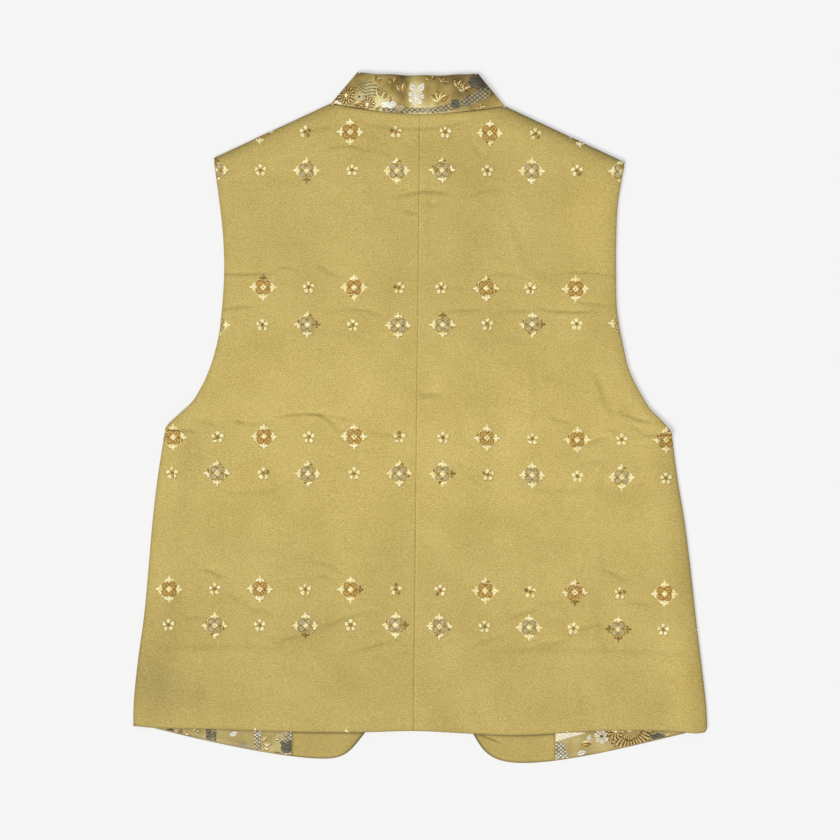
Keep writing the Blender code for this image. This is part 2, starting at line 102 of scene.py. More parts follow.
def softNoise(x, y, size, seed):
    # random heights from -1 to 1 on a square lattice of that size, joined by soft steps; the lattice
    # has 97 points each way and then comes again
    side = 97
    lattice = np.random.default_rng(seed).uniform(-1, 1, (side, side))
    u, v = x / size + 40.5, y / size + 40.5
    i, j = np.floor(u).astype(int), np.floor(v).astype(int)
    a, b = smooth(0, 1, u - i), smooth(0, 1, v - j)
    i, j, iNext, jNext = i % side, j % side, (i + 1) % side, (j + 1) % side
    return ((lattice[i, j] * (1 - a) + lattice[iNext, j] * a) * (1 - b)
            + (lattice[i, jNext] * (1 - a) + lattice[iNext, jNext] * a) * b)


def fade(distance, share, reach, power=1):
    # what an edge takes away: its share, less inward by a falling exponential over the reach
    return share * np.exp(-(distance / reach) ** power)


def runParts(points):
    # part of the run along a line of points, from 0 to 1
    run = np.append(0, np.cumsum(np.linalg.norm(np.diff(points, axis=0), axis=1)))
    return run / run[-1]


# Finishes

gamma = 2.2     # a share of lightness to this power is about its share of linear light


def linear(shade):
    # an sRGB hex colour as linear numbers
    parts = np.array([int(shade[k:k + 2], 16) for k in (1, 3, 5)]) / 255
    lit = np.where(parts <= 0.04045, parts / 12.92, ((parts + 0.055) / 1.055) ** 2.4)
    return (*lit.tolist(), 1.0)


def fillSockets(tree, node, **sockets):
    # each socket gets a value or a link from another socket, by its name with underscores for spaces or
    # by n and its number
    for name, value in sockets.items():
        name = name.replace("_", " ")
        socket = node.inputs[int(name[1:])] if name[0] == "n" and name[1:].isdigit() else node.inputs[name]
        if isinstance(value, bpy.types.NodeSocket):
            tree.links.new(value, socket)
        else:
            socket.default_value = value


def addNode(tree, kind, settings=None, stops=(), **sockets):
    # a node with its settings, its sockets and, where it has a ramp, the ramp's stops: each a place and
    # a colour, the two ends first
    node = tree.nodes.new(kind)
    for name, value in (settings or {}).items():
        setattr(node, name, value)
    for number, (at, shade) in enumerate(stops):
        elements = node.color_ramp.elements
        stop = elements[number] if number < 2 else elements.new(at)
        stop.position, stop.color = at, linear(shade)
    fillSockets(tree, node, **sockets)
    return node


def newMaterial(name):
    # a material with its node tree, its shader and the object's own coordinates
    material = bpy.data.materials.new(name)
    material.use_nodes = True
    tree = material.node_tree
    where = addNode(tree, "ShaderNodeTexCoord").outputs["Object"]
    return material, tree, tree.nodes["Principled BSDF"], where


def crepeSilk(name, low, high, grain=1.0):
    # silk crepe, woven with hard twisted weft: a fine uneven grain with a soft sheen and no gloss.
    # The real grain is about 0.4 mm, too fine for the picture, so it is drawn about 1.2 mm long. The
    # "tone" of each point carries painted shade along the edges and in the rolls of the folds, and broad
    # painted light and shade.
    material, tree, shader, where = newMaterial(name)
    stretched = addNode(tree, "ShaderNodeMapping", Vector=where, Scale=(0.74, 1.2, 1.0)).outputs["Vector"]
    fine = addNode(tree, "ShaderNodeTexNoise", Vector=stretched, Scale=860.0, Detail=1.5, Roughness=0.6,
                   Distortion=0.8).outputs["Fac"]
    twist = addNode(tree, "ShaderNodeTexNoise", Vector=stretched, Scale=1500.0, Detail=1.0).outputs["Fac"]
    broad = addNode(tree, "ShaderNodeTexNoise", Vector=where, Scale=16.0, Detail=2.0,
                    Roughness=0.5).outputs["Fac"]
    both = addNode(tree, "ShaderNodeMath", {"operation": "MULTIPLY_ADD"}, n0=broad, n1=0.3, n2=fine)
    dye = addNode(tree, "ShaderNodeValToRGB", Fac=both.outputs[0], stops=((0.36, low), (0.94, high)))
    tone = addNode(tree, "ShaderNodeAttribute", {"attribute_name": "tone"})
    toned = addNode(tree, "ShaderNodeMix", {"data_type": "RGBA", "blend_type": "MULTIPLY"}, n0=1.0,
                    n6=dye.outputs["Color"], n7=tone.outputs["Fac"])
    under = addNode(tree, "ShaderNodeBump", Height=fine, Strength=0.7 * grain, Distance=0.0009)
    over = addNode(tree, "ShaderNodeBump", Height=twist, Strength=0.12 * grain, Distance=0.0005,
                   Normal=under.outputs["Normal"])
    fillSockets(tree, shader, Base_Color=toned.outputs[2], Normal=over.outputs["Normal"], Roughness=0.62,
                Specular_IOR_Level=0.28, Sheen_Weight=0.12, Sheen_Roughness=0.45,
                Sheen_Tint=linear("#FFF0C0"))
    return material


def satinGround(name, dark, middle, light):
    # silk satin, the ground of the patterned brocade: smooth, with a soft shine along the threads and
    # cloudy changes of colour; the "tone" of each point carries these, painted shade along its edges and,
    # on the lining, painted shadow under the back's hem
    material, tree, shader, where = newMaterial(name)
    stretched = addNode(tree, "ShaderNodeMapping", Vector=where, Scale=(1.0, 0.45, 1.0)).outputs["Vector"]
    fine = addNode(tree, "ShaderNodeTexNoise", Vector=stretched, Scale=900.0, Detail=2.0).outputs["Fac"]
    tone = addNode(tree, "ShaderNodeAttribute", {"attribute_name": "tone"})
    mixed = addNode(tree, "ShaderNodeMath", {"operation": "MULTIPLY_ADD"}, n0=fine, n1=0.25,
                    n2=tone.outputs["Fac"])
    dye = addNode(tree, "ShaderNodeValToRGB", Fac=mixed.outputs[0],
                  stops=((0.12, dark), (1.0, light), (0.58, middle)))
    bump = addNode(tree, "ShaderNodeBump", Height=fine, Strength=0.25, Distance=0.0006)
    fillSockets(tree, shader, Base_Color=dye.outputs["Color"], Normal=bump.outputs["Normal"],
                Roughness=0.48, Specular_IOR_Level=0.4, Sheen_Weight=0.1)
    return material


def silkThread(name, low, high, rough=0.6, shine=0.12):
    # floss of loosely thrown silk, or silk wrapped in gilt foil: each float takes its own "tint"
    # between the two colours, so neighbouring threads glint differently
    material, tree, shader, where = newMaterial(name)
    tint = addNode(tree, "ShaderNodeAttribute", {"attribute_name": "tint"})
    dye = addNode(tree, "ShaderNodeValToRGB", Fac=tint.outputs["Fac"], stops=((0.0, low), (1.0, high)))
    strands = addNode(tree, "ShaderNodeTexNoise", Vector=where, Scale=2600.0, Detail=1.0)
    bump = addNode(tree, "ShaderNodeBump", Height=strands.outputs["Fac"], Strength=0.15, Distance=0.0002)
    fillSockets(tree, shader, Base_Color=dye.outputs["Color"], Normal=bump.outputs["Normal"],
                Roughness=rough, Specular_IOR_Level=shine)
    return material


def turnedHorn(name, dark, light):
    # polished horn, turned: dark brown with paler streaks and a clear gloss
    material, tree, shader, where = newMaterial(name)
    stretched = addNode(tree, "ShaderNodeMapping", Vector=where, Scale=(1.0, 0.25, 1.0)).outputs["Vector"]
    grain = addNode(tree, "ShaderNodeTexNoise", Vector=stretched, Scale=520.0, Detail=4.0,
                    Distortion=0.8).outputs["Fac"]
    streaks = addNode(tree, "ShaderNodeValToRGB", Fac=grain, stops=((0.35, dark), (0.8, light)))
    bump = addNode(tree, "ShaderNodeBump", Height=grain, Strength=0.06, Distance=0.0003)
    fillSockets(tree, shader, Base_Color=streaks.outputs["Color"], Normal=bump.outputs["Normal"],
                Roughness=0.24)
    return material


def opalTable(name, shade, glow):
    # cast acrylic, matt, lit from below: as pale as what lies round it, so that shadows stay faint on it
    material, tree, shader, where = newMaterial(name)
    matt = addNode(tree, "ShaderNodeTexNoise", Vector=where, Scale=900.0, Detail=2.0)
    bump = addNode(tree, "ShaderNodeBump", Height=matt.outputs["Fac"], Strength=0.02, Distance=0.0002)
    fillSockets(tree, shader, Base_Color=linear(shade), Emission_Color=(1.0, 1.0, 1.0, 1.0),
                Emission_Strength=glow, Normal=bump.outputs["Normal"], Roughness=0.9,
                Specular_IOR_Level=0.1)
    return material


shellSilk = crepeSilk("crepe silk, woven, old gold", "#AE9649", "#E0C97C")
facingSilk = crepeSilk("crepe silk, woven, plain old gold", "#A78F48", "#D2BB70", 0.8)
collarSatin = satinGround("silk satin brocade, woven, olive gold", "#56421C", "#B09852", "#EADCA2")
liningSatin = satinGround("silk satin brocade, woven, olive beige", "#8A7640", "#B5A160", "#DCCB8E")
# gold and shade are one gilt thread as lit and shaded copies: pale with painted highlight, and dark with
# painted shade; the shade thread also draws the painted shadow lines round the gold
threads = dict(
    gold=silkThread("gilt thread, pale where it catches the light", "#F6DC88", "#FFFFD6", 0.36, 0.4),
    shade=silkThread("gilt thread, turned from the light", "#6E5218", "#A0823A", 0.4, 0.3),
    brown=silkThread("floss silk, russet brown", "#87571A", "#B58638"),
    tan=silkThread("floss silk, tan", "#B58F48", "#DFBE76"),
    olive=silkThread("floss silk, olive brown", "#82692A", "#A58E4A"),
    grey=silkThread("floss silk, warm grey", "#AC9A72", "#CDBD98"),
    white=silkThread("floss silk, white", "#D8D4C2", "#FFFFFA", 0.5, 0.3),
    black=silkThread("floss silk, charcoal", "#3A382C", "#686452"),
    slate=silkThread("floss silk, slate", "#40403A", "#6E6C64"),
    teal=silkThread("floss silk, sea green", "#5C6C56", "#8E9777"),
    amber=silkThread("gilt thread, deep gold", "#6C450A", "#E2B650", 0.4, 0.3),
    rust=silkThread("floss silk, chestnut", "#3C2708", "#7C5418"),
    cream=silkThread("floss silk, cream", "#E6DCBC", "#FFF9E6"),
    ash=silkThread("floss silk, ash grey", "#8A8266", "#BDB498"))
horn = turnedHorn("horn, turned and polished, dark brown", "#2A1A0F", "#6A4A2C")
opal = opalTable("acrylic, cast, opal white", "#ADADAD", 0.51)
print("finishes made")


# Meshes

def addMesh(name, points, faces, materials, index=None, values=None):
    # an object from points in millimetres, moved to the frame and its metres, riding on the one body;
    # its values give one share for every point
    mesh = bpy.data.meshes.new(name)
    shifted = (np.asarray(points) + (place["seam"], place["hem"], 0)) * place["scale"]
    mesh.from_pydata(shifted.tolist(), [], faces if isinstance(faces, list) else faces.tolist())
    for material in materials:
        mesh.materials.append(material)
    if index is not None:
        mesh.polygons.foreach_set("material_index", np.asarray(index, np.int32))
    for key, each in (values or {}).items():
        mesh.attributes.new(key, "FLOAT", "POINT").data.foreach_set("value", np.asarray(each, np.float32))
    mesh.shade_smooth()
    mesh.update()
    piece = bpy.data.objects.new(name, mesh)
    bpy.context.scene.collection.objects.link(piece)
    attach(piece, "root")
    return piece


def numbered(plan, first=0):
    # a number for each point of a grid, row by row
    return first + np.arange(plan.shape[0] * plan.shape[1]).reshape(plan.shape[:2])


def lifted(plan, height):
    # the points of a plan with their heights above the floor
    return np.concatenate([plan, height[..., None]], -1)


def gridQuads(numbers):
    # the quads between a grid's points, anticlockwise where rows go up and columns go right
    quads = numbers[:-1, :-1], numbers[:-1, 1:], numbers[1:, 1:], numbers[1:, :-1]
    return np.stack(quads, -1).reshape(-1, 4)


def shell(points, quads, wall, bulge=0.12):
    # a closed wall under a surface: the inner face lies a wall's thickness against the normals, and
    # the rim is rounded by two more rows that stand out by a part of the wall; the last list says which
    # point of the surface each point comes from
    corners = points[quads]
    faceNormal = np.cross(corners[:, 2] - corners[:, 0], corners[:, 3] - corners[:, 1])
    normal = np.zeros_like(points)
    for k in range(4):
        np.add.at(normal, quads[:, k], faceNormal)
    normal /= np.maximum(np.linalg.norm(normal, axis=1), 1e-9)[:, None]
    edges = np.vstack([quads[:, [0, 1]], quads[:, [1, 2]], quads[:, [2, 3]], quads[:, [3, 0]]])
    _, first, uses = np.unique(np.sort(edges, axis=1), axis=0, return_index=True, return_counts=True)
    rim = edges[first[uses == 1]]
    away = np.zeros_like(points)
    side = np.cross(points[rim[:, 1]] - points[rim[:, 0]], normal[rim[:, 0]])
    for k in range(2):
        np.add.at(away, rim[:, k], side)
    away /= np.maximum(np.linalg.norm(away, axis=1), 1e-9)[:, None]
    thick = np.broadcast_to(np.asarray(wall, float), len(points))[:, None]
    count = len(points)
    onRim = np.unique(rim)
    number = np.zeros(count, int)
    number[onRim] = np.arange(len(onRim))
    rows = [points[onRim] + thick[onRim] * (away[onRim] * bulge - normal[onRim] * part)
            for part in (0.22, 0.78)]
    everything = np.vstack([points, points - normal * thick, *rows])
    start, end = rim[:, 0], rim[:, 1]
    upper, lower = 2 * count + number, 2 * count + len(onRim) + number
    ribbons = [np.stack(ring, -1) for ring in (
        (end, start, upper[start], upper[end]),
        (upper[end], upper[start], lower[start], lower[end]),
        (lower[end], lower[start], start + count, end + count))]
    source = np.concatenate([np.arange(count), np.arange(count), onRim, onRim])
    return everything, np.vstack([quads, quads[:, ::-1] + count, *ribbons]), source


def mirrored(points, half):
    # a half's points on its own side of the centre back seam
    return points * (half["sign"], 1, 1)


# The cut, half by half

leftHalf = dict(
    name="left", sign=-1,
    turn=17.0,                      # from the side fold to the side seam
    neckPoint=(89.0, 627.5),
    collarPoint=(63.0, 659.0),
    lowest=(90.4, -28.4),           # of the front's hem
    cutEase=24.0,                   # handle of the rounded corner there
    bend=(49.3, -2.7), lean=38.5,   # the corner's bend, and the edge's lean from upright there
    hemStart=1.4,                   # height of the front hem at the side seam
    split=121.0,                    # where the facing ends and the lining begins
    sideReach=7.0,                  # how far in the side fold's roll begins
    foldShade=0.2, sideShade=0.03, shoulderShade=0.12, hemRound=0.0,
    widths=(280.7, 280.7, 276.8, 270.8, 266.9, 263.2, 257.8, 251.3),
    armhole=(251.3, 247.3, 239.0, 226.0, 218.2, 207.4, 200.6, 196.0, 194.2, 195.7, 200.0, 206.0))
rightHalf = dict(
    name="right", sign=1, turn=21.4, neckPoint=(85.0, 626.5), collarPoint=(57.7, 659.0),
    lowest=(109.0, -30.7), cutEase=33.0, bend=(59.4, -1.7), lean=30.0, hemStart=0.8, split=141.0,
    sideReach=15.0, foldShade=0.13, sideShade=0.06, shoulderShade=0.2, hemRound=3.2,
    widths=(294.0, 293.1, 287.7, 281.4, 275.7, 269.2, 260.9, 255.0),
    armhole=(255.0, 251.8, 244.5, 232.5, 225.0, 212.4, 206.1, 199.3, 197.7, 197.5, 198.9, 205.6))
cut = dict(
    wall=1.4, gap=0.3,
    under=3.4,                      # the back's inner face above the floor
    fold=2.4,                       # radius of the folds, half of all the layers
    shoulderTurn=12.0,              # from the shoulder fold to its seam
    shoulderReach=13.0,             # how far in the shoulder's roll begins
    armholeStep=7.0, stepFrom=345.0,    # how far the fronts' armholes lie further in, from this height up
    lap=12.0,                       # of the fronts at the centre
    backNeck=617.6, frontNeck=547.0,
    neckPulls=((-15, -36), 44), cutTop=170.0, cutPull=110.0, bendPulls=(20.0, 25.0),
    hemPull=(-48, -12), hemEase=43.0,
    widthHeights=(2, 20, 67, 115, 163, 211, 259, 302),
    armholeHeights=(302, 306, 314, 326, 338, 362, 386, 422, 459, 494, 530, 571.5),
    hemAcross=(-281, -258, -215, -88, -40, 0, 58, 105, 138, 187, 228, 269, 284, 294),
    hemHeights=(2.6, 0.9, 0.6, -1.9, -1.0, 0.4, -1.8, -2.8, -1.1, 2.4, 3.2, 2.1, 0.8, 2.6))
top = cut["under"] + cut["wall"]
armpit = 302.0
halves = (leftHalf, rightHalf)


def halfWidth(half, height):
    # half width of the back, along the side fold and then the armhole; at the hem the corner is rounded
    # by a quarter of an ellipse 6 mm tall
    height = np.asarray(height, float)
    rounding = half["hemRound"] * (1 - np.sqrt(1 - np.clip(1 - (height - 2) / 6, 0, 1) ** 2))
    return np.where(height <= armpit, through(height, cut["widthHeights"], half["widths"]) - rounding,
                    through(height, cut["armholeHeights"], half["armhole"]))


def hemHeight(signed):
    # height of the back hem, which is a little uneven
    return through(signed, cut["hemAcross"], cut["hemHeights"])


def shoulderLine(half):
    # the shoulder fold: tip, neck point, direction along it, and direction square to it, inward
    tip = np.array((half["armhole"][-1], cut["armholeHeights"][-1]))
    neck = np.array(half["neckPoint"])
    along = (tip - neck) / np.linalg.norm(tip - neck)
    return tip, neck, along, np.array((along[1], -along[0]))


def shoulderGap(half, across, height):
    # distance from the shoulder fold, inward
    _, neck, _, inward = shoulderLine(half)
    return (across - neck[0]) * inward[0] + (height - neck[1]) * inward[1]


def backNeck(half, across):
    # height of the neck seam, a shallow bowl
    neck = half["neckPoint"]
    return cut["backNeck"] + (neck[1] - cut["backNeck"]) * (across / neck[0]) ** 2


# The back's pressed creases, each from a first point to a second: how far its middle bows to the left
# of that way, its depth, and half the width of its steep side, which faces left.
creases = np.array((
    (-48, 606, 50, 611, -6, 0.3, 1.5), (-90, 581, -56, 581, 3.5, 0.4, 1.6),
    (-57, 581, -28, 574, 1, 0.14, 1.6), (-23, 533, 29, 538, 3.5, 0.56, 2.0),
    (-15, 520, 0, 518, -1, 0.28, 1.5), (8, 527, 17, 525, 0, 0.24, 1.6),
    (-110, 522, -70, 518, 9, 0.1, 2.6), (44, 531, 86, 543, 3, 0.24, 2.0),
    (52, 589, 62, 574, -1, 0.3, 1.8), (-114, 596, -84, 605, 1, 0.34, 2.0),
    (-197, 456, -149, 457, -1.5, 0.5, 1.2), (-146, 458, -120, 457, 5, 0.3, 1.6),
    (-102, 468, -76, 454, -3, 0.26, 1.7), (-197, 419, -168, 423, 1, 0.4, 1.8),
    (-94, 415, -36, 414, 7, 0.3, 1.7), (30, 420, 62, 421, 0.8, 0.32, 1.4),
    (86, 421, 115, 421, 0.5, 0.34, 1.5), (125, 423, 177, 422, -2, 0.44, 1.5),
    (70, 457, 110, 453, 2.5, 0.2, 1.6), (148, 459, 188, 458, 1.5, 0.28, 1.7),
    (20, 445, 46, 443, 0, 0.18, 1.5), (162, 430, 190, 427, 0, 0.34, 2.0),
    (-130, 397, -60, 395, 2, 0.16, 3.0), (60, 389, 115, 390, 2, 0.16, 2.8),
    (-137, 313, -91, 315, 2, 0.5, 1.4), (-101, 316, -79, 298, 3.5, 0.4, 1.6),
    (-181, 309, -172, 306, 0, 0.6, 1.3), (-173, 306, -146, 308, -1.5, 0.18, 1.8),
    (-83, 315, -68, 310, 0, 0.26, 1.6), (-49, 300, -18, 296, -2, 0.28, 2.4),
    (-188, 237, -138, 241, -2, 0.24, 2.2), (-139, 241, -126, 250, 0, 0.3, 2.0),
    (-127, 241, -97, 243, 1, 0.16, 2.0), (-222, 309, -196, 303, 0, 0.3, 3.0),
    (2, 336, 21, 336, 0, 0.85, 1.6), (177, 359, 188, 329, 1, 0.5, 2.0),
    (187, 331, 195, 316, 1, 0.24, 2.0), (204, 320, 234, 311, -1, 0.4, 1.8),
    (216, 307, 227, 299, 0, 0.3, 1.8), (134, 315, 154, 309, 0, 0.34, 2.0),
    (165, 285, 190, 296, 1, 0.46, 1.8), (189, 273, 180, 243, 1, 0.44, 2.8),
    (119, 242, 175, 245, -2, 0.26, 3.0), (164, 268, 186, 271, 1, 0.24, 2.0),
    (115, 384, 117, 300, 1, 0.24, 3.4), (189, 305, 203, 300, 0, 0.26, 2.0),
    (124, 354, 140, 353, 1, 0.24, 2.0), (-213, 160, -192, 151, 1, 0.46, 1.7),
    (-190, 136, -162, 119, 1, 0.24, 2.6), (-163, 120, -140, 114, 1, 0.2, 2.4),
    (-142, 81, -117, 94, 2.5, 0.48, 1.8), (-107, 94, -88, 105, 0, 0.18, 2.0),
    (-90, 104, -50, 119, 0, 0.48, 2.3), (-61, 77, -20, 91, 1, 0.44, 1.8),
    (-247, 80, -140, 81, 2, 0.26, 3.6), (-104, 169, -76, 159, 2, 0.24, 1.8),
    (-107, 147, -80, 146, 8, 0.24, 1.8), (-228, 110, -213, 113, 0, 0.3, 2.2),
    (189, 163, 209, 152, 1.5, 0.42, 1.6), (95, 112, 119, 123, 1, 0.56, 2.6),
    (117, 127, 146, 131, 0, 0.2, 2.2), (130, 82, 151, 93, 1, 0.66, 2.4), (110, 80, 137, 91, 1, 0.4, 2.0),
    (152, 96, 170, 106, 0, 0.52, 2.4), (168, 105, 187, 109, 0, 0.3, 2.2), (55, 84, 88, 97, 0, 0.36, 2.2),
    (180, 140, 190, 84, -2, 0.3, 2.8), (210, 130, 234, 128, 1, 0.26, 1.8),
    (80, 80, 270, 79, 3, 0.24, 3.6), (182, 202, 188, 152, 1, 0.2, 2.4), (165, 50, 168, 20, 0, 0.34, 3.0),
    (-213, 44, -218, 12, 0, 0.3, 3.4), (62, 46, 60, 14, 0, 0.28, 3.4), (-84, 30, -86, 8, 0, 0.22, 3.0)))
ridges = np.array((     # soft ridges of the back, as across, height, length, direction, half width, rise, bow
    (92, 489, 62, -71, 5, -0.5, 3), (122, 452, 30, -25, 5, -0.3, 0), (-222, 132, 30, 62, 5, -0.4, 2),
    (-150, 540, 70, 2, 7, -0.25, 1), (-150, 210, 120, -3, 9, -0.2, 2), (60, 205, 120, 2, 9, -0.2, -2)))


def pressed(signed, height, table):
    # the sum of the pressed creases: across each the cloth drops steeply, lies a low ridge before the
    # drop and rises slowly after it; along it, the crease fades at both ends
    total = np.zeros_like(signed)
    for x, y, xEnd, yEnd, bow, depth, soft in table:
        length = math.hypot(xEnd - x, yEnd - y)
        ahead = ((xEnd - x) / length, (yEnd - y) / length)
        part = 2 * ((signed - x) * ahead[0] + (height - y) * ahead[1]) / length - 1
        away = (height - y) * ahead[0] - (signed - x) * ahead[1] - bow * (1 - np.minimum(part ** 2, 2))
        drop = smooth(-soft, soft, away) * np.exp(-np.maximum(away - soft, 0) / (2.6 * soft + 3))
        drop = drop - 0.18 * np.exp(-((away + 2 * soft) / (1.6 * soft)) ** 2)
        total -= depth * drop * np.exp(-(part / 1.06) ** 4)
    return total


def relief(signed, height, table):
    # the sum of the creases: a bell across each, fading at its ends, less in a ridge beside it
    total = np.zeros_like(signed)
    for across, middle, length, turn, wide, depth, bow in table:
        east, north = signed - across, height - middle
        cosine, sine = math.cos(math.radians(turn)), math.sin(math.radians(turn))
        along = east * cosine + north * sine
        away = north * cosine - east * sine - bow * (1 - (2 * along / length) ** 2)
        run = depth * np.exp(-np.abs(along / (0.52 * length)) ** 3)
        ridge = 0.5 * np.exp(-((away - 1.9 * wide) / (1.1 * wide)) ** 2)
        total += run * (ridge - np.exp(-(away / wide) ** 2))
    return total


def foldShare(distance, reach):
    # height along a quarter of an ellipse: 0 at the fold's edge, 1 from reach inward
    return np.sqrt(1 - np.clip(1 - distance / reach, 0, 1) ** 2)


backShape = dict(
    crown=2.1, crownAcross=(34, 92), crownLow=(60, 150), crownHigh=(555, 615),  # rise over the lap
    puff=1.1,           # springy rise beside the folds
    puffBell=(20, 12),  # its distance from them and half its width
    neckSink=(0.8, 1.8), hemSink=(0.5, 1.6),    # how far an edge sinks, and over what width
    armSink=(0.9, 11, 0.35, 1.4),               # the same at the armhole, twice
    valley=0.1,         # depth of the seams' valleys
    crease=2.3,         # how far the creases are drawn out of their table's depth
    cockle=0.26,        # small unevenness of the cloth
    hemWave=0.6,
    allowance=(10.4, 0.22),         # the seam allowance that shows on the right: its edge and rise
    seamColumns=(0.12, 1.4, 2.6, 4.2, 6.2),         # the grid's columns beside the seam, from it
    tipParts=(0.925, 0.945, 0.96, 0.972, 0.982, 0.992, 1.0),    # and close together at the shoulder tip
    column=2.75,
    closeRows=((70, 172), (236, 322), (405, 612)),  # heights where many creases lie
    closeRow=1.25, row=2.7)
# Broad painted light and shade on the back, as across, height, how wide, how high, and how much
paintedLightAndShade = np.array((
    (0, 290, 400, 110, 0.045), (-262, 52, 24, 38, -0.09), (-238, 118, 20, 26, -0.04),
    (-30, 62, 80, 45, -0.025), (172, 500, 26, 36, 0.04), (270, 60, 20, 60, 0.03),
    (-205, 545, 20, 30, -0.03), (60, 560, 60, 30, -0.015), (-232, 34, 40, 22, -0.05),
    (-222, 272, 20, 30, -0.04), (-70, 107, 110, 18, -0.03), (183, 277, 34, 16, -0.035),
    (-147, 358, 34, 16, 0.03), (166, 529, 22, 16, 0.04)))


def backLevel(half, across, height):
    # z of the back's outer face where it lies on top: the layers below, creases, cockles, seam
    # valleys, and the roll toward each fold
    shape = backShape
    signed = half["sign"] * across
    side = halfWidth(half, np.minimum(height, armpit)) - across
    side = side + 300 * smooth(armpit - 6, armpit + 10, height)
    tipward = smooth(0, 26, halfWidth(half, np.clip(height, 500, 571.5)) - across)
    shoulder = shoulderGap(half, across, height)
    crown = shape["crown"] * (1 - smooth(*shape["crownAcross"], across)) * smooth(*shape["crownLow"], height)
    level = top + crown * (1 - smooth(*shape["crownHigh"], height))
    far, wide = shape["puffBell"]
    sideBell, shoulderBell = (np.exp(-((each - far) / wide) ** 2) for each in (side, shoulder))
    level = level + shape["puff"] * (sideBell + 0.8 * shoulderBell)
    creased = shape["crease"] * pressed(signed, height, creases) + relief(signed, height, ridges)
    cockles = softNoise(signed, height, 23, 3) + 0.5 * softNoise(signed, height, 9, 5)
    creased = creased + shape["cockle"] * cockles
    wave = np.sin(signed / 13 + 1.3 * np.sin(signed / 37)) * (0.6 + 0.4 * np.sin(signed / 71 + 1))
    creased = creased + shape["hemWave"] * wave * (1 - smooth(4, 62, height))
    level = level + creased * smooth(3, 22, np.minimum(side, shoulder))
    edge, rise = shape["allowance"]
    tape = smooth(0.3, 1.3, signed) * (1 - smooth(edge - 0.9, edge + 0.9, signed))
    level = level + rise * tape * smooth(420, 470, height) * (1 - smooth(590, 612, height))
    level = level - shape["valley"] * np.exp(-((across - 0.1) / 0.8) ** 2)
    deep, wide = shape["neckSink"]
    level = level - deep * np.exp(-((backNeck(half, across) - height) / wide) ** 2)
    armhole = halfWidth(half, np.maximum(height, armpit)) - across
    edge = smooth(armpit - 2, armpit + 12, height)
    broad, reach, deep, wide = shape["armSink"]
    level = level - edge * (broad * (1 - smooth(0, reach, armhole)) + deep * np.exp(-(armhole / wide) ** 2))
    deep, wide = shape["hemSink"]
    level = level - deep * np.exp(-((height - hemHeight(signed)) / wide) ** 2)
    share = foldShare(side, half["sideReach"])
    reach = cut["fold"] + (cut["shoulderReach"] - cut["fold"]) * tipward
    return cut["fold"] + (level - cut["fold"]) * share * foldShare(shoulder, reach)


def backTone(half, along, height):
    # how dark the back is: painted shade along the fold, hem and armhole edges and in the rolls of the
    # shoulders and the side, and the broad painted light and shade; a share of the colour's lightness,
    # turned to linear light
    signed = half["sign"] * along
    side = np.maximum(halfWidth(half, np.minimum(height, armpit)) - along, 0)
    side = side + 300 * smooth(armpit - 6, armpit + 10, height)
    arm = halfWidth(half, np.maximum(height, armpit)) - along + 300 * (1 - smooth(armpit - 8, armpit, height))
    gap = np.maximum(shoulderGap(half, along, height), 0)
    low = np.maximum(height - hemHeight(signed), 0)
    share = 1 - fade(side, half["foldShade"], 1.6) - fade(side, half["sideShade"], 8)
    share = share - fade(arm, 0.12, 1.5) - fade(arm, 0.04, 6) - fade(low, 0.26, 1.3)
    share = share - fade(gap, 0.1, 1.5) - fade(gap, half["shoulderShade"], 6, 1.5)
    for across, middle, wide, high, amount in paintedLightAndShade:
        share = share + amount * np.exp(-((signed - across) / wide) ** 2 - ((height - middle) / high) ** 2)
    return np.clip(share, 0.3, 1.2) ** gamma


def backPoint(half, along, height):
    # a point of the back from its place on the flat cloth: on top, round the side or shoulder fold,
    # or on the strip turned under; the folds are half circles
    radius = cut["fold"]
    start = halfWidth(half, np.minimum(height, armpit)) - radius
    beyond = np.where(height <= armpit + 1, np.maximum(along - start, 0), 0)
    angle = np.minimum(beyond / radius, math.pi)
    across = np.minimum(along, along - beyond) + radius * np.sin(angle)
    across = across - np.maximum(beyond - math.pi * radius, 0)
    _, _, _, inward = shoulderLine(half)
    past = np.maximum(radius - shoulderGap(half, across, height), 0)
    turned = np.minimum(past / radius, math.pi)
    shift = past - radius * np.sin(turned) + np.maximum(past - math.pi * radius, 0)
    across, height = across + inward[0] * shift, height + inward[1] * shift
    angle = np.maximum(angle, turned)
    under = radius * (1 + np.cos(angle))
    level = backLevel(half, across, height)
    return np.stack([across, height, np.where(angle <= math.pi / 2, level, under)], -1)


def closeRows(low, high):
    # heights between two ends, close together where the creases lie: even steps of the summed density
    fine = np.linspace(low, high, 4000)
    dense = np.full(fine.shape, 1 / backShape["row"])
    for start, end in backShape["closeRows"]:
        part = smooth(start - 4, start + 4, fine) * (1 - smooth(end - 4, end + 4, fine))
        dense = dense + part * (1 / backShape["closeRow"] - 1 / backShape["row"])
    total = np.cumsum(dense) * (fine[1] - fine[0])
    total = total - total[0]
    return np.interp(np.linspace(0, total[-1], int(total[-1]) + 1), total, fine)


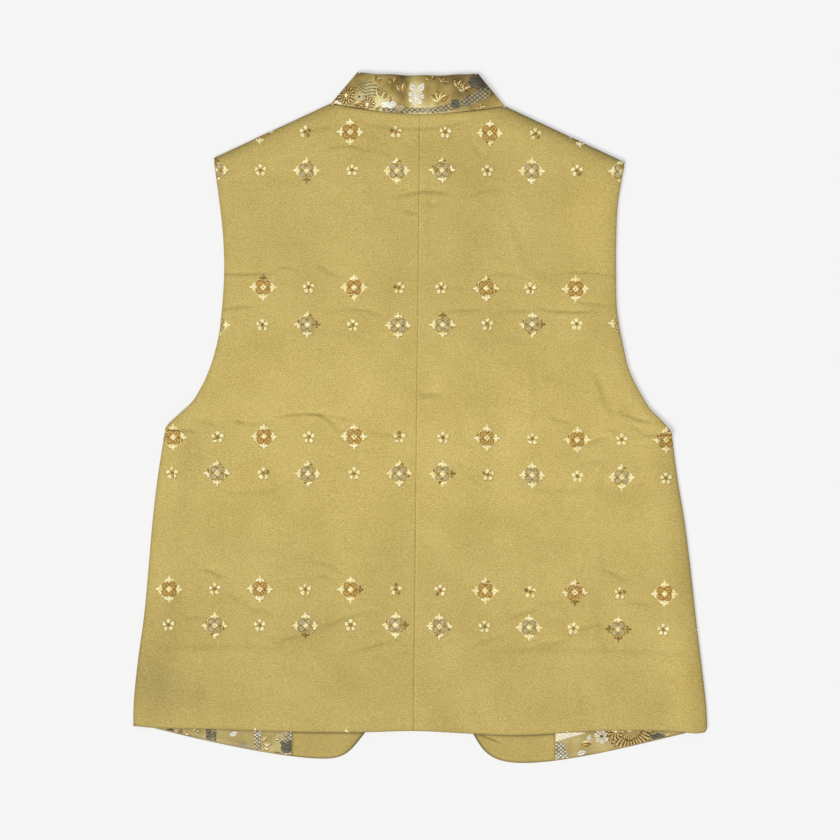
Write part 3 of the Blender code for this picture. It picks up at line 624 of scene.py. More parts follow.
def backGrid(half):
    # the back's places on the flat cloth: a grid between hem, neck and shoulder, centre seam and side,
    # and two strips that carry on past the side fold and the shoulder fold
    tip, neck, along, inward = shoulderLine(half)
    radius, middle = cut["fold"], backShape["seamColumns"][0]
    sideRows = np.append(np.arange(2.0, 8, 1.2), closeRows(8, armpit))
    armRows = np.append(closeRows(armpit, 552)[1:], np.linspace(552, 568, 14)[1:])
    corner = tip + radius * inward
    heights = np.concatenate([sideRows, armRows])
    outer = np.stack([halfWidth(half, heights), heights], -1)
    outer[:len(sideRows), 0] -= radius
    outer = np.vstack([outer, corner])
    centreNeck = cut["backNeck"]
    rise = smooth(380, corner[1], outer[:, 1]) * (centreNeck - corner[1])
    inner = np.stack([np.full(len(outer), middle), outer[:, 1] + rise], -1)
    across = np.append(backShape["seamColumns"], np.arange(8.6, neck[0] - 4, backShape["column"]))
    neckPart = np.stack([across, backNeck(half, across)], -1)
    neckEnd = neck + radius * inward + cut["gap"] * along
    parts = np.append(np.linspace(0, 0.9, 41), backShape["tipParts"])[:, None]
    topEdge = np.vstack([neckPart, neckEnd + (corner - neckEnd) * parts])
    columns = (topEdge[:, 0] - middle) / (topEdge[-1, 0] - middle)
    reach = middle + columns * (outer[0, 0] - middle)
    bottom = np.stack([reach, hemHeight(half["sign"] * reach)], -1)
    inner[0] = bottom[0]
    outer[0, 1] = bottom[-1, 1]
    rows = (outer[:, 1] - outer[0, 1]) / (outer[-1, 1] - outer[0, 1])
    plan = coons(bottom, topEdge, inner, outer, columns, rows)
    numbers = numbered(plan)
    quads = [gridQuads(numbers)]
    places = [plan.reshape(-1, 2)]
    rolled = np.append(np.linspace(0, math.pi * radius, 12)[1:], 0)
    last = len(sideRows)
    rolled[-1] = math.pi * radius + half["turn"] - radius
    side = plan[:last, -1][:, None] + rolled[None, :, None] * (1, 0)
    more = numbered(side, numbers.size)
    quads.append(gridQuads(np.hstack([numbers[:last, -1:], more])))
    places.append(side.reshape(-1, 2))
    rolled[-1] = math.pi * radius + cut["shoulderTurn"] - radius
    begin = len(across)
    shoulder = plan[-1, begin:][None] - rolled[:, None, None] * inward
    more = numbered(shoulder, more.max() + 1)
    quads.append(gridQuads(np.vstack([numbers[-1:, begin:], more])))
    places.append(shoulder.reshape(-1, 2))
    return np.vstack(places), np.vstack(quads)


for half in halves:
    places, quads = backGrid(half)
    points = mirrored(backPoint(half, places[:, 0], places[:, 1]), half)
    quads = quads if half["sign"] > 0 else quads[:, ::-1]
    points, faces, source = shell(points, quads, cut["wall"])
    tone = backTone(half, places[:, 0], places[:, 1])[source]
    addMesh(f"back_{half['name']}_silk", points, faces, [shellSilk],
                                  values={"tone": tone})
    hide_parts(f"back_{half['name']}")


# The fronts, underneath and face down

frontShape = dict(
    buttons=1.9, buttonLow=(55, 168), buttonHigh=(522, 545),    # lift over the buttons
    lap=1.7, lapLow=(40, 85),                                   # lift of the right front over the left
    liftAcross=(26, 62),
    cockle=0.1)
frontCreases = np.array((       # on the side that lies down, so each is a soft hollow from below
    (-120, 452, 90, -6, 7, 0.7, 3), (118, 438, 110, 4, 7, 0.7, -3), (-160, 330, 60, 48, 7, 0.7, 2),
    (170, 322, 62, -52, 8, 0.8, -2), (-96, 210, 84, 12, 8, 0.6, 2), (104, 196, 72, -14, 8, 0.6, -3),
    (-205, 150, 66, -38, 8, 0.6, 2), (214, 132, 58, 30, 8, 0.6, 0), (-150, 95, 70, -8, 8, 0.5, 2),
    (160, 90, 64, 10, 8, 0.5, 2), (-118, 540, 48, -20, 6, 0.5, 0), (112, 532, 56, 16, 6, 0.5, 2)))


def neckCurve(half):
    # control points of the front neckline, from the neck point to the centre front
    neck, low = np.array(half["neckPoint"]), cut["frontNeck"]
    return neck, neck + cut["neckPulls"][0], np.array((cut["neckPulls"][1], low)), np.array((0, low))


def cornerCurves(half):
    # control points of the rounded front corner: from its lowest point to its bend, and on up from
    # there to the front edge
    low, bend, edge = np.array(half["lowest"]), np.array(half["bend"]), -cut["lap"]
    lean = math.radians(half["lean"])
    ahead = np.array((-math.sin(lean), math.cos(lean)))
    return ((low, low + (-half["cutEase"], 0), bend - cut["bendPulls"][0] * ahead, bend),
            (bend, bend + cut["bendPulls"][1] * ahead, np.array((edge, cut["cutTop"] - cut["cutPull"])),
             np.array((edge, cut["cutTop"]))))


def frontHemCurve(half):
    # control points of the front hem, from the side seam to its lowest point
    start = np.array((half["widths"][0] - half["turn"] - cut["gap"], half["hemStart"]))
    low = np.array(half["lowest"])
    return start, start + cut["hemPull"], low + (cut["hemEase"], 0), low


def frontLine(half, count=200):
    # a front's lower edge as one line of points, from the side seam to the front edge
    rounded, rising = cornerCurves(half)
    at = np.linspace(0, 1, count)
    return np.vstack([bezier(frontHemCurve(half), at), bezier(rounded, at)[1:], bezier(rising, at)[1:]])


def lowerEdge(half, across):
    # height of a front's lower edge at places across
    line = frontLine(half)
    order = np.argsort(line[:, 0])
    return np.interp(across, line[order, 0], line[order, 1])


def overLap(half, across):
    # how far the right front and its half of the collar lie above the floor, over the left ones
    return (frontShape["lap"] if half["sign"] > 0 else 0.0) * (1 - smooth(*frontShape["liftAcross"], across))


def frontLevel(half, across, height):
    # z of a front's outer face: flat on the floor, lifted over the buttons and the other front
    shape = frontShape
    lift = shape["buttons"] * smooth(*shape["buttonLow"], height) * (1 - smooth(*shape["buttonHigh"], height))
    if half["sign"] > 0:
        lift = lift + shape["lap"] * smooth(*shape["lapLow"], height)
    level = lift * (1 - smooth(*shape["liftAcross"], across))
    hollow = -relief(half["sign"] * across, height, frontCreases)
    hollow = hollow + shape["cockle"] * (1 + softNoise(half["sign"] * across, height, 21, 11))
    return level + np.maximum(hollow, 0) * smooth(50, 90, height) * smooth(40, 90, across)


def frontPoint(half, across, height):
    # a point of a front's outer face
    return np.stack([across, height, frontLevel(half, across, height)], -1)


def frontNeckline(half, count=26):
    # the front neckline from the shoulder seam to the centre front
    _, neck, _, inward = shoulderLine(half)
    curve = bezier(neckCurve(half), np.linspace(0, 1, 400))
    first = np.argmax((curve - neck) @ inward >= cut["shoulderTurn"] + cut["gap"])
    return bezier(neckCurve(half), np.linspace(first / 399, 1, count))


def rimShade(shape, dark=0.8):
    # a grid's tone: 1 inside and darker along its rim, as painted shade of the edge
    tone = np.full(shape, dark ** gamma)
    tone[1:-1, 1:-1] = 1.0
    return tone.reshape(-1)


def frontGrid(half):
    # a front's grid between hem and rounded corner, neckline and shoulder seam, front edge and side
    tip, _, along, inward = shoulderLine(half)
    turn = half["turn"] + cut["gap"]
    lowRows = np.linspace(2, armpit, 74)
    highRows = np.linspace(armpit, tip[1] - cut["shoulderTurn"], 65)[1:]
    seam = np.stack([halfWidth(half, lowRows) - turn, lowRows], -1)
    step = turn + (cut["armholeStep"] - turn) * smooth(armpit, cut["stepFrom"], highRows)
    armhole = np.stack([halfWidth(half, highRows) - step, highRows], -1)
    seamEnd = tip + (cut["shoulderTurn"] + cut["gap"]) * inward - cut["armholeStep"] * along
    armhole[-1] = seamEnd
    outer = np.vstack([seam, armhole])
    lapPart = np.stack([np.linspace(-cut["lap"], 0, 5)[:-1], np.full(4, cut["frontNeck"])], -1)
    neckline = np.vstack([lapPart, frontNeckline(half)[::-1]])
    parts = np.linspace(0, 1, 27)[1:, None]
    topEdge = np.vstack([neckline, neckline[-1] + (seamEnd - neckline[-1]) * parts])
    rounded, rising = cornerCurves(half)
    corner = bezier(rounded, np.linspace(0.5, 0, 14))
    hem = bezier(frontHemCurve(half), np.linspace(1, 0, len(topEdge) - len(corner) + 1))
    bottom = np.vstack([corner, hem[1:]])
    rest = np.vstack([bezier(rounded, np.linspace(0.5, 1, 14)), bezier(rising, np.linspace(0, 1, 38))[1:]])
    straightRows = np.linspace(cut["cutTop"], cut["frontNeck"], len(outer) - len(rest) + 1)[1:]
    inner = np.vstack([rest, np.stack([np.full(len(straightRows), -cut["lap"]), straightRows], -1)])
    outer[0] = bottom[-1]
    columns = (runParts(bottom) + runParts(topEdge)) / 2
    plan = coons(bottom, topEdge, inner, outer, columns, runParts(outer))
    numbers = numbered(plan)
    # the tone is the painted shade along the front's rim
    return plan.reshape(-1, 2), gridQuads(numbers), rimShade(numbers.shape, 0.6)


for half in halves:
    places, quads, tone = frontGrid(half)
    points = mirrored(frontPoint(half, places[:, 0], places[:, 1]), half)
    quads = quads if half["sign"] < 0 else quads[:, ::-1]
    points, faces, source = shell(points, quads, cut["wall"])
    addMesh(f"front_{half['name']}_silk", points, faces, [shellSilk],
                                   values={"tone": tone[source]})
    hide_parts(f"front_{half['name']}")


# Facing and lining, which show below the back hem

insideShape = dict(
    thick=1.0,
    level=2.7,              # outer face above the floor
    facingEnd=34.0, hiddenTop=39.0,
    facingInset=0.35, liningInset=0.5,
    creases=np.array(((66, -4, 86, -10.5, 0.6, 1.0, 0.8), (-84, -17, -60, -8, 1, 0.12, 2.0),
                      (110, 2, 114, -24, 0, 0.14, 2.4), (-105, 0, -102, -20, 0, 0.12, 2.2))))


def insideLevel(signed, height, edgeGap):
    # z of the inner layers: creases and cockles, rolling down to the front's edge
    level = insideShape["level"] + pressed(signed, height, insideShape["creases"]) * smooth(1, 6, edgeGap)
    level = level + 0.1 * softNoise(signed, height, 11, 8) * smooth(1, 6, edgeGap)
    return level - 0.6 * (1 - smooth(0, 4.5, edgeGap))


def insideGrid(half, start, end, inset):
    # a strip from the front's lower edge up to a straight hidden edge
    across = start + (end - start) * np.sin(np.linspace(0, 1, 64) * math.pi / 2) ** 0.9
    edge = lowerEdge(half, across)
    slope = np.gradient(edge, across)
    low = edge + inset * np.sqrt(1 + slope ** 2)
    part = np.concatenate([(0, 0.012, 0.03), np.linspace(0.05, 0.6, 40), np.linspace(0.66, 1, 6)])[:, None]
    height = low + (insideShape["hiddenTop"] - low) * part
    spread = np.broadcast_to(across, height.shape)
    gap = (height - low) / np.sqrt(1 + slope ** 2)
    return spread, height, gap


def strip(name, half, start, end, inset, material, tone=None):
    # a facing or lining, with painted shadow under the back's hem and painted shade along its lower edge,
    # round the front's corner and where facing and lining meet
    spread, height, gap = insideGrid(half, start, end, inset)
    signed = half["sign"] * spread
    points = np.stack([signed, height, insideLevel(signed, height, gap)], -1).reshape(-1, 3)
    quads = gridQuads(numbered(spread))
    quads = quads if half["sign"] > 0 else quads[:, ::-1]
    points, faces, source = shell(points, quads, insideShape["thick"])
    steep = 1 - smooth(half["bend"][0], half["lowest"][0] - 8, spread)
    covered = np.maximum(hemHeight(signed) - height, 0)
    # painted shade along the lower edge and round the corner, painted shadow under the back's hem, and
    # painted shade where facing and lining meet
    paintedShade = 1 - fade(gap, 0.36, 0.9) - steep * fade(gap, 0.2, 2.4)
    paintedShade = paintedShade * (1 - fade(covered, 0.45, 1.3, 1.5)) * (1 - fade(np.abs(spread - half["split"]), 0.1, 0.9))
    paintedShade = paintedShade.reshape(-1) ** gamma
    shade = tone(points[:, 0], points[:, 1]) - 0.5 * (1 - paintedShade[source]) if tone else paintedShade[source]
    return addMesh(name, points, faces, [material], values={"tone": shade})


def liningTone(signed, height):
    # cloudy changes of the lining's dye
    return 0.46 + 0.16 * softNoise(signed, height, 14, 21) + 0.12 * softNoise(signed, height, 5, 22)


facings, linings = {}, {}
for half in halves:
    name = half["name"]
    facings[name] = strip(f"facing_{name}_silk", half, insideShape["facingEnd"], half["split"],
                          insideShape["facingInset"], facingSilk)
    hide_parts(f"facing_{name}")
    reach = half["widths"][0] - half["turn"] - cut["gap"] - 2.0
    linings[name] = strip(f"lining_{name}_brocade", half, half["split"] + cut["gap"], reach,
                          insideShape["liningInset"], liningSatin, liningTone)
    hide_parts(f"lining_{name}")
print("facings and linings laid")


# The stand collar

collarShape = dict(
    wall=2.0,
    middle=656.5,           # height of the top edge at the centre back
    front=583.0,            # height of the top edge at the centre front
    topReach=11.0,          # how far the roll of the top edge reaches
    foldReach=11.0,
    puff=2.4)


def collarTop(half, across):
    # height of the collar's top edge behind, with its slight waves
    crest = half["collarPoint"]
    bowl = collarShape["middle"] + (crest[1] - collarShape["middle"]) * (across / crest[0]) ** 2
    return bowl + 0.35 * np.sin(half["sign"] * across / 5.2 + 0.7) * (1 - smooth(40, 56, across))


def collarFold(half):
    # the fold at the collar's side: its foot, its crest and the direction square to it, inward
    foot, crest = np.array(half["neckPoint"]), np.array(half["collarPoint"])
    along = (crest - foot) / np.linalg.norm(crest - foot)
    return foot, crest, along, np.array((-along[1], along[0]))


def collarLevel(half, across, height):
    # z of the collar's outer face behind: puffed in the middle, rolled at its top edge and its folds
    foot, _, _, inward = collarFold(half)
    fold = (across - foot[0]) * inward[0] + (height - foot[1]) * inward[1]
    crown = collarTop(half, across) - height
    seam = height - backNeck(half, across)
    signed = half["sign"] * across
    level = top + collarShape["puff"] * smooth(0, 18, seam) + 0.14 * softNoise(signed, height, 8, 31)
    level = level + 0.3 * np.sin(signed / 9 + 1.1 * np.sin(signed / 23)) * smooth(6, 26, seam)
    level = level - 1.0 * np.exp(-((seam - 0.3) / 1.7) ** 2)
    low = cut["fold"] + 0.3
    level = low + (level - low) * foldShare(np.maximum(crown, 0), collarShape["topReach"])
    return cut["fold"] + (level - cut["fold"]) * foldShare(np.maximum(fold, 0), collarShape["foldReach"])


def collarFrontCurve(half):
    # control points of the top edge of the collar's front halves, from the side fold to the centre
    _, crest, _, inward = collarFold(half)
    front = collarShape["front"]
    return crest + cut["fold"] * inward, crest + (-7, -30), (30, front), (cut["gap"], front)


def collarHalf(half):
    # sections of the collar from the centre back to the centre front, each from the neck seam to the
    # top edge: the outer face, and the wall below it
    foot, crest, along, inward = collarFold(half)
    radius, wall = cut["fold"], collarShape["wall"]
    part = np.append((0, 0.02, 0.05), np.linspace(0.09, 0.9, 17))
    part = np.append(part, (0.93, 0.955, 0.975, 0.99, 1.0))
    lowStart = foot + radius * inward + cut["gap"] * along
    highStart = crest + radius * inward
    across = np.linspace(0, 1, 44)
    low = np.stack([across * lowStart[0], backNeck(half, across * lowStart[0]) + cut["gap"]], -1)
    low[-1] = lowStart
    high = np.stack([across * highStart[0], collarTop(half, across * highStart[0])], -1)
    high[-1] = highStart
    plan = low[:, None] + (high - low)[:, None] * part[None, :, None]
    sections = [lifted(plan, collarLevel(half, plan[..., 0], plan[..., 1]))]
    thick = [np.minimum(wall, sections[0][..., 2] - (top - wall) + 0.12)]
    angle = np.linspace(0, math.pi, 11)[1:, None, None]
    rolled = plan[-1][None] - inward * radius * np.sin(angle)
    level = collarLevel(half, rolled[..., 0], rolled[..., 1])
    z = np.where(angle[..., 0] <= math.pi / 2, level, radius * (1 + np.cos(angle[..., 0])))
    sections.append(lifted(rolled, z))
    thick.append(np.full(z.shape, wall * 0.9))
    neckline = frontNeckline(half, 30)[1:]
    ahead = np.gradient(neckline, axis=0)
    ahead /= np.linalg.norm(ahead, axis=1)[:, None]
    ahead[-1] = (-1, 0)
    lowRun = neckline + cut["gap"] * np.stack([ahead[:, 1], -ahead[:, 0]], -1)
    lowRun[-1, 0] = cut["gap"]
    highRun = bezier(collarFrontCurve(half), np.linspace(0.05, 1, 29))
    under = lowRun[:, None] + (highRun - lowRun)[:, None] * part[None, :, None]
    over = overLap(half, under[..., 0])
    sections.append(lifted(under, over))
    thick.append(np.full(over.shape, wall))
    return np.vstack(sections), np.vstack(thick)


# Broad changes of the collar's lightness, as across, how wide, and how much paler
collarClouds = ((-48, 12, 0.12), (6, 16, 0.16), (56, 16, -0.3), (-20, 9, -0.2), (26, 17, -0.2),
                (-74, 15, -0.22))


def collarTone(signed, height):
    # the collar's tone: cloudy, paler along its foot and left of the middle, browner to the right
    tone = 0.4 + 0.16 * smooth(0, 30, 655 - height)
    for across, wide, amount in collarClouds:
        tone = tone + amount * np.exp(-((signed - across) / wide) ** 2)
    return tone + 0.2 * softNoise(signed, height, 11, 41) + 0.1 * softNoise(signed, height, 5, 42)


sides, walls = [], []
for half in halves:
    sections, thick = collarHalf(half)
    sections = mirrored(sections, half)
    sides.append(sections[:0:-1] if half["sign"] < 0 else sections)
    walls.append(thick[:0:-1] if half["sign"] < 0 else thick)
sections, thick = np.vstack(sides), np.vstack(walls)
quads = gridQuads(numbered(thick))[:, ::-1]
points, faces, source = shell(sections.reshape(-1, 3), quads, thick.reshape(-1))
# painted shade along the collar's rim, taken off its tone
paintedShade = (1 - rimShade(thick.shape, 0.6))[source] * 0.2
collar = addMesh("collar_brocade", points, faces, [collarSatin],
                 values={"tone": collarTone(points[:, 0], points[:, 1]) - paintedShade})
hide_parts("collar")
print("collar laid:", len(collar.data.polygons))


# The woven figures: weft floats, one bar for each run of a thread

weave = dict(
    row=0.62,           # between weft floats, mm; the real ones are about half as far apart
    column=0.3,         # finest step along a float
    longest=6.3,        # a float is bound down after this
    stagger=4,          # steps from the place where one row is bound to the next row's
    shortest=0.35,
    jitter=0.12,        # how far the ends of a float stray
    tile=(-14.1, 14.2, -14.0, 14.1),    # left, right, low and high end of a small figure's chart
    rise=0.2,           # how far a float stands out
    ends=0.55,          # width of its ends, as a share of its middle's
    tuck=0.05)          # how far its ends go into the cloth


def chartPlaces(left, right, low, high):
    # places across and heights of a chart's points
    return np.meshgrid(np.arange(left, right, weave["column"]), np.arange(low, high, weave["row"]))


def onCloth(surface, half, along, height, rise, out):
    # points at a rise above the cloth, along its normal there, which two near points give; out is -1
    # for a face that looks down
    here, near = surface(half, along, height), 0.25
    east = surface(half, along + near, height) - here
    north = surface(half, along, height + near) - here
    normal = np.cross(east, north)
    normal /= np.linalg.norm(normal, axis=-1)[..., None]
    return here + normal * (out * rise)[..., None]


def floatRuns(chart, left, low, seed):
    # the runs of each thread in a chart's rows: where it starts and ends along the row
    count = chart.shape[1]
    step = weave["stagger"] * np.arange(chart.shape[0])[:, None] + np.arange(count)[None]
    bound = step % int(weave["longest"] / weave["column"])
    chart = np.where(bound == 0, 0, chart)
    padded = np.pad(chart, ((0, 0), (1, 1)))
    rows, starts, ends, kinds = [], [], [], []
    for kind in np.unique(chart[chart > 0]):
        mask = padded == kind
        row, start = np.nonzero(mask[:, 1:] & ~mask[:, :-1])
        _, end = np.nonzero(~mask[:, 1:] & mask[:, :-1])
        rows.append(row)
        starts.append(start)
        ends.append(end)
        kinds.append(np.full(len(row), kind))
    if not rows:
        return np.zeros((0, 5))
    row, start, end, kind = (np.concatenate(each) for each in (rows, starts, ends, kinds))
    random = np.random.default_rng(seed)
    jitter = random.uniform(-weave["jitter"], weave["jitter"], (2, len(row)))
    begin, finish = left + start * weave["column"] + jitter[0], left + end * weave["column"] + jitter[1]
    return np.stack([begin, np.maximum(finish, begin + weave["shortest"]), low + row * weave["row"], kind,
                     random.uniform(0, 1, len(row))], -1)


def floatMesh(name, runs, surface, half, kinds, out=1):
    # a low rounded bar for each run: four stations along it, and edge, crest and edge across it
    begin, finish, height, kind, tint = runs.T
    end = np.minimum(weave["shortest"] / (finish - begin), 0.4)
    share = np.stack([0 * end, end, 1 - end, 0 * end + 1], -1)
    along = (begin[:, None] + (finish - begin)[:, None] * share)[:, :, None]
    offset = np.array((-0.5, 0.0, 0.5)) * weave["row"]
    ends, tuck = weave["ends"], weave["tuck"]
    narrow = np.array((ends, 1.0, 1.0, ends))[None, :, None]
    crest = weave["rise"] * np.array((0.1, 1.0, 0.1))[None, None] * np.array((0, 1, 1, 0))[None, :, None]
    lift = np.broadcast_to(crest + np.array((-tuck, 0.02, 0.02, -tuck))[None, :, None], (len(begin), 4, 3))
    along = np.broadcast_to(along, lift.shape)
    height = height[:, None, None] + offset * narrow
    points = onCloth(surface, half, along, np.broadcast_to(height, lift.shape), lift, out)
    sign = half["sign"] if half else 1
    points = points.reshape(-1, 3) * (sign, 1, 1)
    block = np.arange(12).reshape(4, 3)
    quads = np.stack([block[:-1, :-1], block[1:, :-1], block[1:, 1:], block[:-1, 1:]], -1).reshape(-1, 4)
    faces = (quads[None] + 12 * np.arange(len(begin))[:, None, None]).reshape(-1, 4)
    faces = faces if sign * out > 0 else faces[:, ::-1]
    used = [threads[key] for key in kinds]
    return addMesh(name, points, faces, used, index=np.repeat(kind.astype(int) - 1, len(quads)),
                   values={"tint": np.repeat(tint, 12)})


def turnedBy(x, y, degrees):
    # coordinates in a frame whose second axis points that far round from +y, clockwise
    cosine, sine = math.cos(math.radians(degrees)), math.sin(math.radians(degrees))
    return x * cosine - y * sine, x * sine + y * cosine


kindNames = ("gold", "shade", "brown", "tan", "olive", "grey", "white", "black", "slate", "teal", "amber",
             "rust", "cream", "ash")
kindOf = {key: k + 1 for k, key in enumerate(kindNames)}
smallKinds = kindNames[:6]      # the threads of the small figures and the buttonholes
chances = dict(
    dark=0.08, halfDark=0.34,   # below the first a gold part is dark, below the second its one side
    plain=0.35,                 # a figure without a dark line round its gold
    bare=0.4, litHeart=0.6)     # a scroll without its gold rim, a diamond with a gold heart


def gilt(x, y, draw):
    # gold for most of a part; some parts, or their right or lower side, are turned from the light and
    # take painted shade
    if draw < chances["dark"]:
        return np.full(x.shape, kindOf["shade"])
    if draw < chances["halfDark"]:
        return np.where(x * 0.75 - y * 0.66 > 0.5 + 3 * draw, kindOf["shade"], kindOf["gold"])
    return np.full(x.shape, kindOf["gold"])


def paintedShadowLine(chart, sign, draw):
    # a painted shadow: a dark line along the lower and the right side of the gold parts, on most of the
    # figures
    if draw < chances["plain"]:
        return chart
    gold = chart == kindOf["gold"]
    below = np.roll(gold, -1, axis=0) | np.roll(np.roll(gold, -1, axis=0), sign, axis=1)
    beside = np.roll(gold, sign, axis=1) | np.roll(gold, 2 * sign, axis=1)
    return np.where((below | beside) & ~gold & (chart == 0), kindOf["shade"], chart)


def lozenge(x, y, tone, random):
    # four fleur tips on the axes, four ringed scrolls between them, and a diamond in the middle; two of
    # the scrolls have an eye. Sizes are in millimetres.
    ring, fill = (kindOf["brown"], kindOf["tan"]) if tone == "brown" else (kindOf["olive"], kindOf["grey"])
    chart = np.zeros(x.shape, int)
    for turn in (45, 135, 225, 315):
        u, w = turnedBy(x, y, turn)
        r = np.hypot(u, w - 5.2)
        chart[r < 3.6] = ring
        inner = (r < 2.5) if tone == "grey" else (r > 1.0) & (r < 2.2) & (np.abs(u) + 0.6 * w > 2.9)
        chart[inner & ((np.hypot(u - 0.8, w - 5.7) > 0.7) | (turn > 200))] = fill
        rim = (r >= 3.6) & (r < 4.2) & (w > 6.3) & (random.uniform() > chances["bare"])
        chart[rim] = kindOf["gold"]
    for turn in (0, 90, 180, 270):
        u, w = turnedBy(x, y, turn)
        chart[(np.abs(u) < 0.45) & (w > 2.6) & (w < 7)] = ring
        part = gilt(u, w - 9.5, random.uniform())
        wide = 1.45 * np.minimum(np.clip((13.8 - w) / 3.0, 0, 1) ** 0.7, np.clip((w - 6.2) / 1.8, 0, 1))
        spike = np.abs(u) < wide
        v, q = np.abs(u) - 2.6, w - 9.2
        barb = ((v * 0.94 - q * 0.34) / 1.9) ** 2 + ((q * 0.94 + v * 0.34) / 1.25) ** 2 < 1
        chart = np.where(spike | barb, part, chart)
    diamond = np.abs(x) + np.abs(y)
    chart[diamond < 3.9] = 0
    heart = np.where((diamond < 0.9) & (random.uniform() > chances["litHeart"]), ring, kindOf["gold"])
    return np.where(diamond < 3.1, heart, chart)


def floret(x, y, tone, random):
    # five notched petals round a brown heart, one petal up
    chart = np.zeros(x.shape, int)
    chart[np.hypot(x, y) < 1.75] = kindOf["brown"] if tone == "brown" else kindOf["olive"]
    for turn in range(0, 360, 72):
        u, w = turnedBy(x, y, turn)
        petal = np.abs(u / 2.05) ** 1.6 + np.abs((w - 4.4) / 2.25) ** 1.6 < 1
        petal &= ~((np.abs(u) < 0.4 * (w - 5.3)) & (w > 5.3))
        chart = np.where(petal, gilt(u, w - 4.3, random.uniform()), chart)
    return chart


# The bands of small figures: height at the centre back, drift of the height per 100 mm on the left and
# the right, the first figure's place across on each side, the colour of the band, and which figure is
# a big one: 0 the first and every other, 1 the second and every other
bands = (
    dict(height=599.0, drift=(0.0, 0.0), first=(23.6, 25.7), tone="brown", big=1),
    dict(height=561.0, drift=(-0.8, 0.8), first=(22.0, 23.0), tone="grey", big=0),
    dict(height=443.5, drift=(-0.8, 0.8), first=(18.7, 22.7), tone="brown", big=1),
    dict(height=406.5, drift=(-0.8, 1.6), first=(19.0, 24.5), tone="grey", big=0),
    dict(height=294.5, drift=(-0.9, -0.3), first=(16.7, 25.9), tone="brown", big=1),
    dict(height=258.0, drift=(-0.9, -0.8), first=(16.9, 26.3), tone="grey", big=0),
    dict(height=142.0, drift=(-0.9, -0.8), first=(18.8, 25.3), tone="brown", big=1),
    dict(height=106.0, drift=(-0.9, -0.8), first=(18.5, 24.7), tone="grey", big=0),
    dict(height=-11.6, drift=(0.0, 0.2), first=(22.0, 108.7), tone="brown", big=1))
pitch = dict(left=45.4, right=44.8)     # from figure to figure


def onBack(half, along, height):
    # true inside the back's cut, with the strips turned under
    side = halfWidth(half, np.minimum(height, armpit)) - cut["fold"]
    reach = side + math.pi * cut["fold"] + half["turn"] - cut["fold"] - 0.8
    arm = halfWidth(half, np.maximum(height, armpit)) - 1.0
    low = hemHeight(half["sign"] * np.minimum(along, 278)) + 0.6
    turn = cut["shoulderTurn"] + cut["fold"] * (math.pi - 2) - 0.8
    return ((along > 1.2) & (along < np.where(height <= armpit + 1, reach, arm)) & (height > low)
            & (height < backNeck(half, along) - 0.8) & (shoulderGap(half, along, height) > -turn))


def onFront(half, across, height):
    # true inside a front's cut
    low = lowerEdge(half, across) + 1.2
    reach = halfWidth(half, height) - half["turn"] - 0.9
    step = (cut["armholeStep"] - half["turn"]) * smooth(armpit, cut["stepFrom"], height)
    arm = halfWidth(half, np.maximum(height, armpit)) - half["turn"] - step - 0.9
    neckline = frontNeckline(half, 80)[::-1]
    high = np.where(across < neckline[-1, 0],
                    np.interp(np.maximum(across, 0), neckline[:, 0], neckline[:, 1]) - 1.0, 1e9)
    return ((across > -cut["lap"] + 1.0) & (across < np.where(height <= armpit, reach, arm)) & (height > low)
            & (height < high) & (shoulderGap(half, across, height) > cut["shoulderTurn"] + 1.0))


def figureRuns(half, inside, shift, seed, farthest=300):
    # the runs of all the figures on a panel
    column = 0 if half["sign"] < 0 else 1
    random = np.random.default_rng(seed)
    found = []
    tile = weave["tile"]
    x, y = chartPlaces(*tile)
    for row, band in enumerate(bands):
        step = pitch[half["name"]]
        places = np.arange(band["first"][column] + shift - 2 * step * (shift > 0), farthest + 20, step)
        for number, across in enumerate(places):
            big = (number + 2 * (shift > 0)) % 2 == band["big"]
            height = band["height"] + band["drift"][column] * abs(across) / 100
            wobble = random.uniform(-0.5, 0.5, 2)
            across, height = across + wobble[0], height + wobble[1]
            warp = [0.45 * softNoise(x + across, y + height, 3.4, seed + each) for each in (0, 1)]
            draw = (lozenge if big else floret)(x * half["sign"] + warp[0], y + warp[1], band["tone"], random)
            draw = paintedShadowLine(draw, half["sign"], random.uniform())
            draw = np.where(inside(half, across + x, height + y), draw, 0)
            found.append(floatRuns(draw, across + tile[0], height + tile[2], seed + 100 * row + number))
    return np.vstack(found)


def buttonholeRuns():
    # the worked edge of each buttonhole on the left front: a thin stadium with its slit left open
    window = (-10, 10, -2.5, 2.6)
    x, y = chartPlaces(*window)
    slit = np.hypot(np.maximum(np.abs(x) - buttonShape["slit"], 0), y)
    draw = np.where((slit < 1.7) & (slit > 0.5), kindOf["olive"], 0)
    return np.vstack([floatRuns(draw, window[0] + buttonShape["beyond"], height + window[2], 90 + number)
                      for number, height in enumerate(buttonHeights)])


